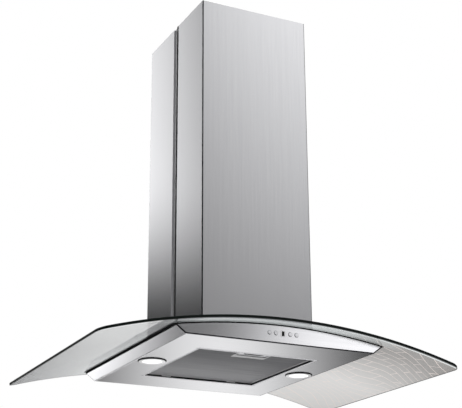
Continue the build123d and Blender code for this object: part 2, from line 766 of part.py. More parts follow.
# Brackets on the airbox flange that the flue halves hook on to
with BuildPart() as flue_brackets:
    bracket_section = [
        (flue_inner_y - bracket_foot, flange_top_z),
        (flue_inner_y, flange_top_z),
        (flue_inner_y, flange_top_z + bracket_height),
    ]
    for x in (-bracket_spacing / 2, bracket_spacing / 2):
        with BuildSketch(Plane.YZ.offset(x)):
            add(folded_sheet(bracket_section, sheet, Side.LEFT))
            add(mirror(folded_sheet(bracket_section, sheet, Side.LEFT), about=Plane.YZ, mode=Mode.PRIVATE))
        extrude(amount=bracket_width / 2, both=True)
flue_brackets.part.label = "flue_brackets"
export_step(flue_brackets.part, "parts/flue_brackets.step")

# Blower scroll: a volute of four tangent arcs that opens upwards, with an inlet on each side
scroll_half = wheel_width / 2 + scroll_side_gap
quarter = scroll_growth / 2
first_radius = wheel_radius + scroll_cutoff
airbox_front = -(airbox_depth / 2 - sheet)
wheel_offset = airbox_front + scroll_front_gap + scroll_wall + quarter + first_radius
neck_top = airbox_top_z - sheet - adapter_height - wheel_z
second_radius = first_radius + scroll_growth
third_radius = second_radius + scroll_growth
neck_right = quarter + third_radius
wheel_plane = Plane(origin=(0, wheel_offset, wheel_z), x_dir=(0, 1, 0), z_dir=(1, 0, 0))
with BuildSketch(wheel_plane) as volute:
    with BuildLine():
        first = CenterArc((-quarter, -quarter), first_radius, 90, 90)
        CenterArc((quarter, -quarter), second_radius, 180, 90)
        third = CenterArc((quarter, quarter), third_radius, 270, 90)
        tongue = (tongue_offset, first_radius - quarter / 2)
        Polyline(third @ 1, (neck_right, neck_top), (tongue_offset, neck_top), tongue, first @ 0)
    make_face()
with BuildSketch(wheel_plane) as volute_outside:
    add(volute.sketch_local)
    offset(amount=scroll_wall)
with BuildPart() as scroll_housing:
    extrude(volute_outside.sketch, scroll_half + scroll_wall, both=True)
    extrude(volute.sketch, scroll_half, both=True, mode=Mode.SUBTRACT)
    with BuildSketch(Plane.XY.offset(wheel_z + neck_top)):
        Rectangle(4 * scroll_half, airbox_depth)
    extrude(amount=adapter_height, mode=Mode.SUBTRACT)
    with BuildSketch(wheel_plane):
        Circle(inlet_radius + scroll_wall)
    extrude(amount=scroll_half + scroll_wall + inlet_lip, both=True)
    with BuildSketch(wheel_plane):
        Circle(inlet_radius + scroll_wall)
    extrude(amount=scroll_half, both=True, mode=Mode.SUBTRACT)
    with BuildSketch(wheel_plane):
        Circle(inlet_radius)
    extrude(amount=2 * scroll_half, both=True, mode=Mode.SUBTRACT)
scroll_housing.part.label = "scroll_housing"
export_step(scroll_housing.part, "parts/scroll_housing.step")

# Adapter from the scroll's square neck to the round outlet
neck_depth = neck_right - tongue_offset
neck_middle = wheel_offset + (neck_right + tongue_offset) / 2
neck_plane = Plane(origin=(0, neck_middle, wheel_z + neck_top))
outlet_plane = Plane.XY.offset(airbox_top_z - sheet)
with BuildPart() as outlet_adapter:
    with BuildSketch(neck_plane):
        Rectangle(2 * (scroll_half + adapter_wall), neck_depth + 2 * adapter_wall)
    with BuildSketch(outlet_plane):
        Circle(collar_diameter / 2 - collar_wall + adapter_wall)
    loft()
    with BuildSketch(neck_plane):
        Rectangle(2 * scroll_half, neck_depth)
    with BuildSketch(outlet_plane):
        Circle(collar_diameter / 2 - collar_wall)
    loft(mode=Mode.SUBTRACT)
outlet_adapter.part.label = "outlet_adapter"
export_step(outlet_adapter.part, "parts/outlet_adapter.step")

# Outlet collar: the spigot for the duct, with holes for the damper rod
damper_z = airbox_top_z + damper_lift
collar_bore = collar_diameter / 2 - collar_wall
with BuildPart() as outlet_collar:
    with BuildSketch(Plane.XY.offset(airbox_top_z)):
        Circle(collar_diameter / 2 + collar_flange)
    extrude(amount=collar_wall)
    with BuildSketch(Plane.XY.offset(airbox_top_z)):
        Circle(collar_diameter / 2)
    extrude(amount=collar_height)
    with BuildSketch(Plane.XY.offset(airbox_top_z)):
        Circle(collar_bore)
    extrude(amount=collar_height, mode=Mode.SUBTRACT)
    with BuildSketch(Plane.YZ):
        with Locations((0, damper_z)):
            Circle(damper_rod_radius + shaft_fit)
    extrude(amount=collar_diameter, both=True, mode=Mode.SUBTRACT)
outlet_collar.part.label = "outlet_collar"
export_step(outlet_collar.part, "parts/outlet_collar.step")

# Damper rod across the collar
with BuildPart() as damper_rod:
    with BuildSketch(Plane.YZ):
        with Locations((0, damper_z)):
            Circle(damper_rod_radius)
    extrude(amount=collar_diameter / 2 - rod_end_gap, both=True)
damper_rod.part.label = "damper_rod"
export_step(damper_rod.part, "parts/damper_rod.step")

# Two half-moon flaps whose knuckles alternate along the rod
for name, facing in (("flap_front", -1), ("flap_rear", 1)):
    first_knuckle = facing * knuckle_pitch / 2
    knuckles = [first_knuckle - knuckle_pitch, first_knuckle + knuckle_pitch]
    with BuildPart() as flap:
        with BuildSketch(Plane.XY.offset(damper_z - flap_thickness / 2)):
            Circle(collar_bore - flap_gap)
            with Locations((0, -facing * (collar_diameter / 2 - flap_setback))):
                Rectangle(collar_diameter, collar_diameter, mode=Mode.SUBTRACT)
            with Locations(*[(x, facing * flap_setback / 2) for x in knuckles]):
                Rectangle(knuckle_length, flap_setback)
        extrude(amount=flap_thickness)
        for x in knuckles:
            with BuildSketch(Plane.YZ.offset(x)):
                with Locations((0, damper_z)):
                    Circle(knuckle_radius)
            extrude(amount=knuckle_length / 2, both=True)
        with BuildSketch(Plane.YZ):
            with Locations((0, damper_z)):
                Circle(damper_rod_radius + knuckle_gap)
        extrude(amount=collar_diameter, both=True, mode=Mode.SUBTRACT)
    flap.part.label = name
    export_step(flap.part, f"parts/{name}.step")

# Fan wheel: a disc with forward-curved blades on both sides, tied by a ring at each end
blade_middle = wheel_radius - blade_depth / 2
with BuildSketch() as blade:
    with BuildLine():
        ThreePointArc((-blade_depth / 2, 0), (0, -blade_bow), (blade_depth / 2, 0))
        offset(amount=blade_sheet, side=Side.LEFT)
    make_face()
with BuildPart() as impeller:
    with BuildSketch(wheel_plane):
        with PolarLocations(blade_middle, blade_count):
            add(blade.sketch)
    extrude(amount=wheel_width / 2 - wheel_ring, both=True)
    with BuildSketch(wheel_plane):
        Circle(wheel_radius)
    extrude(amount=wheel_disc / 2, both=True)
    for end in (wheel_width / 2 - wheel_ring, -wheel_width / 2):
        with BuildSketch(wheel_plane.offset(end)):
            Circle(wheel_radius)
            Circle(wheel_radius - blade_depth, mode=Mode.SUBTRACT)
        extrude(amount=wheel_ring)
    with BuildSketch(wheel_plane):
        Circle(hub_radius)
    extrude(amount=hub_length)
    with BuildSketch(wheel_plane):
        Circle(shaft_radius + shaft_fit)
    extrude(amount=hub_length, both=True, mode=Mode.SUBTRACT)
impeller.part.label = "impeller"
export_step(impeller.part, "parts/impeller.step")

# Motor: hung in the left inlet, its body inside the wheel
motor_face = -wheel_disc / 2 - motor_disc_gap
bracket_face = -scroll_half - scroll_wall - inlet_lip
shaft_depth = motor_length / 2
with BuildPart() as motor:
    with BuildSketch(wheel_plane.offset(motor_face)):
        Circle(motor_radius)
    extrude(amount=-motor_length)
    fillet(motor.edges().filter_by(GeomType.CIRCLE), motor_round)
    with BuildSketch(wheel_plane.offset(bracket_face - bracket_thickness)):
        Circle(motor_flange_radius)
    extrude(amount=-motor_flange_thickness)
    with BuildSketch(wheel_plane.offset(motor_face)):
        Circle(shaft_radius + shaft_running_gap)
    extrude(amount=-shaft_depth, mode=Mode.SUBTRACT)
motor.part.label = "motor"
export_step(motor.part, "parts/motor.step")

# Motor shaft, keyed to the wheel's hub
with BuildPart() as motor_shaft:
    with BuildSketch(wheel_plane.offset(motor_face - shaft_depth + motor_disc_gap)):
        Circle(shaft_radius)
    extrude(amount=shaft_depth + wheel_disc / 2 + hub_length)
motor_shaft.part.label = "motor_shaft"
export_step(motor_shaft.part, "parts/motor_shaft.step")

# Motor bracket: a ring and three arms on the inlet's lip
with BuildPart() as motor_bracket:
    with BuildSketch(wheel_plane.offset(bracket_face)):
        Circle(motor_flange_radius)
        with PolarLocations(bracket_arm_length / 2, bracket_arms):
            Rectangle(bracket_arm_length, bracket_arm_width)
        Circle(motor_radius + bracket_bore_gap, mode=Mode.SUBTRACT)
    extrude(amount=-bracket_thickness)
motor_bracket.part.label = "motor_bracket"
export_step(motor_bracket.part, "parts/motor_bracket.step")

# Terminal box on the airbox's front wall, with a lid
terminal_z = airbox_top_z - terminal_drop
terminal_back = -airbox_depth / 2
with BuildPart() as terminal_box:
    with BuildSketch(Plane.XZ.offset(-terminal_back)):
        with Locations((0, terminal_z)):
            RectangleRounded(terminal_width, terminal_height, terminal_corner)
    extrude(amount=terminal_depth - terminal_lid)
    with BuildSketch(Plane.XZ.offset(-terminal_back + terminal_depth - terminal_lid)):
        with Locations((0, terminal_z)):
            lid_width = terminal_width - terminal_lid
            lid_height = terminal_height - terminal_lid
            RectangleRounded(lid_width, lid_height, terminal_corner - terminal_lid / 2)
    extrude(amount=terminal_lid)
terminal_box.part.label = "terminal_box"
export_step(terminal_box.part, "parts/terminal_box.step")

# Cable gland on top of the terminal box
gland_y = terminal_back - terminal_depth / 2
gland_plane = Plane(origin=(gland_offset, gland_y, terminal_z + terminal_height / 2))
with BuildPart() as cable_gland:
    with BuildSketch(gland_plane):
        RegularPolygon(gland_radius, 6)
    extrude(amount=gland_height / 2)
    with BuildSketch(gland_plane):
        Circle(gland_radius * sqrt(3) / 2)
    extrude(amount=gland_height)
    fillet(cable_gland.edges().group_by(Axis.Z)[-1], gland_round)
    with BuildSketch(gland_plane):
        Circle(gland_bore)
    extrude(amount=gland_height, mode=Mode.SUBTRACT)
cable_gland.part.label = "cable_gland"
export_step(cable_gland.part, "parts/cable_gland.step")

# Motor capacitor in its clip on the airbox's rear wall
with BuildPart() as capacitor:
    with BuildSketch(Plane.YZ):
        with Locations((airbox_depth / 2 + capacitor_clip + capacitor_radius, terminal_z)):
            Circle(capacitor_radius)
    extrude(amount=capacitor_length / 2, both=True)
    fillet(capacitor.edges().filter_by(GeomType.CIRCLE), capacitor_round)
    with BuildSketch(Plane.YZ):
        with Locations((airbox_depth / 2 + (capacitor_clip + capacitor_radius) / 2, terminal_z)):
            Rectangle(capacitor_clip + capacitor_radius, capacitor_radius)
    extrude(amount=capacitor_clip, both=True)
capacitor.part.label = "capacitor"
export_step(capacitor.part, "parts/capacitor.step")

# Lamp transformer with its two fixing ears
transformer_z = airbox_top_z - transformer_drop
with BuildPart() as lamp_transformer:
    with BuildSketch(Plane.XZ.offset(-airbox_depth / 2)):
        with Locations((0, transformer_z)):
            RectangleRounded(transformer_width, transformer_height, transformer_corner)
    extrude(amount=-transformer_depth)
    with BuildSketch(Plane.XZ.offset(-airbox_depth / 2)):
        with Locations((0, transformer_z)):
            SlotOverall(transformer_width + 2 * transformer_ear, transformer_ear)
            with GridLocations(transformer_width + transformer_ear, 0, 2, 1):
                Circle(transformer_hole_radius, mode=Mode.SUBTRACT)
    extrude(amount=-transformer_ear_thickness)
lamp_transformer.part.label = "lamp_transformer"
export_step(lamp_transformer.part, "parts/lamp_transformer.step")

# Two lamps: chrome bezel, frosted lens, cup and bulb, turned about the lamp's axis
lens_seat = lamp_lens_radius - lamp_ledge
lens_curve = (lens_seat**2 + lamp_lens_bulge**2) / (2 * lamp_lens_bulge)
cup_inner = lamp_cup_radius - lamp_cup_wall
for name, side in (("lamp_left", -1), ("lamp_right", 1)):
    lamp_plane = Plane(origin=(side * lamp_spacing / 2, 0, bottom_z), x_dir=(1, 0, 0), z_dir=(0, -1, 0))
    lamp_axis = Axis((side * lamp_spacing / 2, 0, bottom_z), (0, 0, 1))
    with BuildPart() as lamp_bezel:
        with BuildSketch(lamp_plane):
            with BuildLine():
                ring_outer = lamp_cup_radius + lamp_collar_wall
                Polyline(
                    (lens_seat, -lamp_bezel_proud),
                    (lamp_bezel_radius - lamp_bezel_proud, -lamp_bezel_proud),
                    (lamp_bezel_radius, -lamp_bezel_proud / 2),
                    (lamp_bezel_radius, 0),
                    (ring_outer, 0),
                    (ring_outer, lamp_collar_height),
                    (lamp_cup_radius + seat_gap, lamp_collar_height),
                    (lamp_cup_radius + seat_gap, lamp_lens_thickness),
                    (lamp_lens_radius + seat_gap, lamp_lens_thickness),
                    (lamp_lens_radius + seat_gap, -lamp_bezel_proud / 2),
                    (lens_seat, -lamp_bezel_proud / 2),
                    close=True,
                )
            make_face()
        revolve(axis=lamp_axis)
    lamp_bezel.part.label = f"{name}_bezel"
    export_step(lamp_bezel.part, f"parts/{name}_bezel.step")

    with BuildPart() as lamp_lens:
        with BuildSketch(lamp_plane):
            with BuildLine():
                lens_low = -lamp_bezel_proud / 2
                lens_high = lens_low + lamp_lens_thickness
                Polyline(
                    (lens_seat, lens_low),
                    (lamp_lens_radius, lens_low),
                    (lamp_lens_radius, lens_high),
                    (0, lens_high),
                    (0, lens_low - lamp_lens_bulge),
                )
                RadiusArc((0, lens_low - lamp_lens_bulge), (lens_seat, lens_low), lens_curve)
            make_face()
        revolve(axis=lamp_axis)
    lamp_lens.part.label = f"{name}_lens"
    export_step(lamp_lens.part, f"parts/{name}_lens.step")

    with BuildPart() as lamp_cup:
        with BuildSketch(lamp_plane):
            with BuildLine():
                cup_shoulder = lamp_cup_height / 2
                crown_radius = lamp_cup_radius / 2
                cup_path = [
                    (lamp_cup_radius, lamp_lens_thickness),
                    (lamp_cup_radius, cup_shoulder),
                    (crown_radius, lamp_cup_height),
                    (0, lamp_cup_height),
                    (0, lamp_cup_height - lamp_cup_wall),
                    (crown_radius - lamp_cup_wall, lamp_cup_height - lamp_cup_wall),
                    (cup_inner, cup_shoulder - lamp_cup_wall),
                    (cup_inner, lamp_lens_thickness),
                ]
                Polyline(*cup_path, close=True)
            make_face()
        revolve(axis=lamp_axis)
    lamp_cup.part.label = f"{name}_housing"
    export_step(lamp_cup.part, f"parts/{name}_housing.step")

    with BuildPart() as lamp_bulb:
        with BuildSketch(lamp_plane):
            with BuildLine():
                base_low = lamp_cup_height - lamp_cup_wall - bulb_radius
                bulb_path = [
                    (0, base_low - bulb_length),
                    (bulb_radius / 2, base_low - bulb_length),
                    (bulb_radius, base_low - bulb_length + bulb_radius / 2),
                    (bulb_radius, base_low),
                    (bulb_base_radius, base_low),
                    (bulb_base_radius, base_low + bulb_radius),
                    (0, base_low + bulb_radius),
                ]
                Polyline(*bulb_path, close=True)
            make_face()
        revolve(axis=lamp_axis)
    lamp_bulb.part.label = f"{name}_bulb"
    export_step(lamp_bulb.part, f"parts/{name}_bulb.step")

# Housing behind the fascia that guides the buttons and holds the display window
fascia_back = Plane.XZ.offset(-fascia_back_y)
flange_pocket = button_gap + button_flange_thickness + button_travel + button_gap
with BuildPart() as button_housing:
    with BuildSketch(fascia_back):
        with Locations((0, control_z)):
            RectangleRounded(housing_width, housing_height, housing_corner)
    extrude(amount=-housing_depth)
    with BuildSketch(fascia_back):
        with Locations(*[(x, control_z) for x in button_offsets]):
            Circle(button_flange_radius + button_gap)
    extrude(amount=-flange_pocket, mode=Mode.SUBTRACT)
    with BuildSketch(fascia_back):
        with Locations(*[(x, control_z) for x in button_offsets]):
            Circle(button_stem_radius + button_gap)
    extrude(amount=-housing_depth, mode=Mode.SUBTRACT)
    with BuildSketch(fascia_back):
        with Locations((0, control_z)):
            rim_width = display_width + 2 * (display_rim + display_gap)
            rim_height = display_height + 2 * (display_rim + display_gap)
            Rectangle(rim_width, rim_height)
    extrude(amount=-display_rim_thickness, mode=Mode.SUBTRACT)
    with BuildSketch(fascia_back):
        with Locations((0, control_z)):
            Rectangle(display_width, display_height)
    extrude(amount=-housing_depth, mode=Mode.SUBTRACT)
    with BuildSketch(fascia_back.offset(-housing_depth)):
        with Locations((-standoff_spacing / 2, control_z), (standoff_spacing / 2, control_z)):
            Circle(standoff_radius)
    extrude(amount=-board_standoff)
button_housing.part.label = "button_housing"
export_step(button_housing.part, "parts/button_housing.step")

# Black display window, proud of the fascia, rimmed behind it
with BuildPart() as display_window:
    with BuildSketch(fascia_back):
        with Locations((0, control_z)):
            Rectangle(display_width - 2 * display_gap, display_height - 2 * display_gap)
    extrude(amount=sheet + display_proud)
    with BuildSketch(fascia_back):
        with Locations((0, control_z)):
            Rectangle(display_width + 2 * display_rim, display_height + 2 * display_rim)
    extrude(amount=-display_rim_thickness)
display_window.part.label = "display_window"
export_step(display_window.part, "parts/display_window.step")

# Control board with its four switches and display module
board_plane = fascia_back.offset(-housing_depth - board_standoff)
with BuildPart() as control_board:
    with BuildSketch(board_plane):
        with Locations((0, control_z)):
            Rectangle(board_width, board_height)
    extrude(amount=-board_thickness)
    with BuildSketch(board_plane):
        with Locations(*[(x, control_z) for x in button_offsets]):
            Rectangle(switch_size, switch_size)
        with Locations((0, control_z)):
            Rectangle(display_width - 2 * display_gap, display_height - 2 * display_gap)
    extrude(amount=switch_height)
control_board.part.label = "control_board"
export_step(control_board.part, "parts/control_board.step")

# Four push buttons, each a turned cap with a retaining flange and a stem
cap_radius = button_diameter / 2
cap_front = sheet + button_proud
flange_front = -button_gap
flange_rear = flange_front - button_flange_thickness
for number, x in enumerate(button_offsets, start=1):
    button_plane = Plane(origin=(x, fascia_back_y, control_z), x_dir=(1, 0, 0), z_dir=(0, 0, -1))
    with BuildPart() as button:
        with BuildSketch(button_plane):
            with BuildLine():
                profile = [
                    (0, -cap_front),
                    (cap_radius - button_crown, -cap_front),
                    (cap_radius, button_crown - cap_front),
                    (cap_radius, -flange_front),
                    (button_flange_radius, -flange_front),
                    (button_flange_radius, -flange_rear),
                    (button_stem_radius, -flange_rear),
                    (button_stem_radius, housing_depth - button_travel),
                    (0, housing_depth - button_travel),
                ]
                Polyline(*[(across, -along) for across, along in profile], close=True)
            make_face()
        revolve(axis=Axis((x, fascia_back_y, control_z), (0, 1, 0)))
    button.part.label = f"button_{number}"
    export_step(button.part, f"parts/button_{number}.step")

# Filter frame: a channel all round, with two beaded tongues and the latch tray
tray_width = latch_width + 2 * tray_side_gap
tray_front = -filter_half_y + filter_wall
latch_front = -filter_half_y + 2 * filter_wall
latch_rear = latch_front + latch_length
tray_rear = latch_rear + latch_travel + spring_left
tray_top_z = filter_bottom_z + filter_thickness - filter_wall
with BuildPart() as filter_frame:
    with BuildSketch(Plane.XY.offset(filter_bottom_z)):
        Rectangle(2 * filter_half_x, 2 * filter_half_y)
        inner_x = filter_half_x - filter_border
        inner_y = filter_half_y - filter_border
        Rectangle(2 * inner_x, 2 * inner_y, mode=Mode.SUBTRACT)
    extrude(amount=filter_thickness)
    with BuildSketch(Plane.XY.offset(filter_bottom_z + filter_wall)):
        Rectangle(2 * (filter_half_x - filter_wall), 2 * (filter_half_y - filter_wall))
    extrude(amount=filter_thickness - 2 * filter_wall, mode=Mode.SUBTRACT)
    with BuildSketch(Plane.XY.offset(filter_bottom_z)):
        with Locations((0, (tray_front + tray_rear) / 2)):
            Rectangle(tray_width + 2 * filter_wall, tray_rear - tray_front + 2 * filter_wall)
    extrude(amount=filter_thickness)
    with BuildSketch(Plane.XY.offset(filter_bottom_z + tray_lip_sheet)):
        with Locations((0, (tray_front + tray_rear) / 2)):
            Rectangle(tray_width, tray_rear - tray_front)
    extrude(amount=tray_top_z - filter_bottom_z - tray_lip_sheet, mode=Mode.SUBTRACT)
    with BuildSketch(Plane.XY.offset(filter_bottom_z)):
        tray_mouth_front = -filter_half_y + filter_border
        tray_mouth_rear = latch_rear - tray_lip
        with Locations((0, (tray_mouth_front + tray_mouth_rear) / 2)):
            Rectangle(tray_width - 2 * tray_lip, tray_mouth_rear - tray_mouth_front)
    extrude(amount=tray_lip_sheet, mode=Mode.SUBTRACT)
    with BuildSketch(Plane.XZ.offset(filter_half_y)):
        with Locations((0, latch_z + latch_sheet / 2)):
            Rectangle(latch_tongue_width + 2 * latch_clearance, latch_sheet + 2 * latch_slot_gap)
    extrude(amount=-2 * filter_wall, mode=Mode.SUBTRACT)
    with BuildSketch(Plane.XY.offset(filter_bottom_z)):
        with Locations((-tongue_spacing / 2, (filter_half_y + hinge_y) / 2)):
            Rectangle(tongue_width, hinge_y - filter_half_y)
        with Locations((tongue_spacing / 2, (filter_half_y + hinge_y) / 2)):
            Rectangle(tongue_width, hinge_y - filter_half_y)
    extrude(amount=tongue_sheet)
    for x in (-tongue_spacing / 2, tongue_spacing / 2):
        with BuildSketch(Plane.YZ.offset(x)):
            with Locations((hinge_y, hinge_z)):
                Circle(tongue_bead)
        extrude(amount=tongue_width / 2, both=True)
filter_frame.part.label = "filter_frame"
export_step(filter_frame.part, "parts/filter_frame.step")

# Filter core: one pleated sheet of mesh, its pleats running across the hood
core_half_x = filter_half_x - filter_wall - core_fit
core_half_y = filter_half_y - filter_wall - core_fit
core_low = filter_bottom_z + filter_wall + core_fit
core_high = filter_bottom_z + filter_thickness - filter_wall - core_fit - 2 * core_sheet
pleat = 2 * core_half_y / core_pleats
with BuildPart() as filter_core:
    with BuildSketch(Plane.YZ):
        with BuildLine():
            folds = []
            for n in range(2 * core_pleats + 1):
                folds.append((-core_half_y + n * pleat / 2, core_high if n % 2 else core_low))
            Polyline(*folds)
            offset(amount=core_sheet, side=Side.LEFT, kind=Kind.INTERSECTION)
        make_face()
    extrude(amount=core_half_x, both=True)
    with BuildSketch(Plane.XY.offset(filter_bottom_z)):
        Rectangle(2 * core_half_x, 2 * core_half_y)
    extrude(amount=filter_thickness, mode=Mode.INTERSECT)
    with BuildSketch(Plane.XY.offset(filter_bottom_z)):
        with Locations((0, (tray_front + tray_rear) / 2)):
            cut_width = tray_width + 2 * (filter_wall + core_fit)
            Rectangle(cut_width, tray_rear - tray_front + 2 * (filter_wall + core_fit))
    extrude(amount=filter_thickness, mode=Mode.SUBTRACT)
filter_core.part.label = "filter_core"
export_step(filter_core.part, "parts/filter_core.step")

# Latch plate: slides in the tray, with a finger slot, a grip fold and a tongue
latch_middle = (latch_front + latch_rear) / 2
tongue_tip = -filter_opening_depth / 2 - sheet - latch_reach
with BuildPart() as filter_latch:
    with BuildSketch(Plane.XY.offset(latch_z)):
        with Locations((0, latch_middle)):
            Rectangle(latch_width, latch_length)
            SlotOverall(latch_slot_width, latch_slot_length, mode=Mode.SUBTRACT)
        with Locations((0, (tongue_tip + latch_front) / 2)):
            Rectangle(latch_tongue_width, latch_front - tongue_tip)
    extrude(amount=latch_sheet)
    with BuildSketch(Plane.XY.offset(latch_z)):
        with Locations((0, latch_rear - latch_sheet / 2)):
            Rectangle(latch_slot_width, latch_sheet)
        with Locations((0, latch_middle - latch_slot_length / 2 - latch_sheet / 2)):
            Rectangle(latch_slot_width - latch_slot_length, latch_sheet)
    extrude(amount=latch_grip)
filter_latch.part.label = "filter_latch"
export_step(filter_latch.part, "parts/filter_latch.step")

# Bow spring between the tray's rear wall and the latch plate
with BuildPart() as latch_spring:
    with BuildSketch(Plane.XY.offset(latch_z)):
        with BuildLine():
            foot_y = tray_rear - spring_gap
            nose_y = latch_rear + spring_gap + spring_sheet
            ThreePointArc((-spring_span / 2, foot_y), (0, nose_y), (spring_span / 2, foot_y))
            offset(amount=spring_sheet, side=Side.RIGHT)
        make_face()
    extrude(amount=spring_height)
latch_spring.part.label = "latch_spring"
export_step(latch_spring.part, "parts/latch_spring.step")
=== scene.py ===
"""Island range hood: finishes, bent glass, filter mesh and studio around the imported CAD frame."""

from functools import partial
from math import cos, degrees, radians, sin, sqrt

import bmesh
import bpy
from bpy.props import FloatProperty, FloatVectorProperty, PointerProperty
from mathutils import Matrix, Vector


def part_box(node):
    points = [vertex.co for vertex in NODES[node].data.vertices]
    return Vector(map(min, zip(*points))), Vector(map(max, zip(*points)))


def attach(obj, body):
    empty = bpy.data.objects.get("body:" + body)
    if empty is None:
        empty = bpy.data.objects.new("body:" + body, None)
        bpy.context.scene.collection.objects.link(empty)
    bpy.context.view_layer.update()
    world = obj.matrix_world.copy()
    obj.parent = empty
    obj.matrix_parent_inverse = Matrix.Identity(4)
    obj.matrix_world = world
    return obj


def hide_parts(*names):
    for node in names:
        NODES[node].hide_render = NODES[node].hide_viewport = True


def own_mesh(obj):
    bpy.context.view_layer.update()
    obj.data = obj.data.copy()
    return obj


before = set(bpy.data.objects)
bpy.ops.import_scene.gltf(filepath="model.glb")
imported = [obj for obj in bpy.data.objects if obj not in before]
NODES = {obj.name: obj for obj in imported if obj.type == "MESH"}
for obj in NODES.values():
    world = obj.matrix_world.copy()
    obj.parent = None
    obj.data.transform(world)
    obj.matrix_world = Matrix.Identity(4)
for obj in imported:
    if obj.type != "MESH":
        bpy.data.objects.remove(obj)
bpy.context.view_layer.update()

bl_info = {
    "name": "Island range hood",
    "version": (1, 0, 0),
    "blender": (4, 5, 0),
    "location": "View3D > Sidebar > Range hood",
    "description": "Dresses the packed range hood with its finishes, glass, filter mesh and studio",
    "category": "Object",
}

MM = 0.001
CORE_LOW, CORE_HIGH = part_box("filter_core")
CORNERS = ((-1, -1), (1, -1), (1, 1), (-1, 1))
GRAIN = {"X": (1.0, 0.0, 0.0), "Y": (0.0, 1.0, 0.0), "Z": (0.0, 0.0, 1.0)}
QUARTER_TURN = 0.25  # of anisotropic rotation: the gloss smears across the grain
BROAD_SCALE = 0.12  # of the fine scratches' scale, for the broad streaks
BROAD_WEIGHT = 0.3  # of the broad streaks beside the fine ones
WELD = 1e-6  # metres within which vertices are one
SNAP = 1e-7  # metres within which a vertex lies on a cutting plane
SOFT = 0.1 * MM  # fade at the edge of a printed or blackened area
WHITE = (1.0, 1.0, 1.0, 1.0)


def linear(code):
    """Linear colour of an sRGB hex code."""
    channels = [int(code[i : i + 2], 16) / 255 for i in (0, 2, 4)]
    return [c / 12.92 if c <= 0.04045 else ((c + 0.055) / 1.055) ** 2.4 for c in channels]


def length(name, description, size):
    """A size, given in millimetres, that a user may change."""
    return FloatProperty(name=name, description=description, default=size * MM, unit="LENGTH", precision=5)


def angle(name, description, turn):
    """An angle, given in degrees, that a user may change."""
    return FloatProperty(name=name, description=description, default=radians(turn), unit="ROTATION")


def colour(name, description, code):
    """A colour, given as sRGB hex, that a user may change."""
    return FloatVectorProperty(
        name=name, description=description, default=linear(code), subtype="COLOR", min=0.0, max=1.0
    )


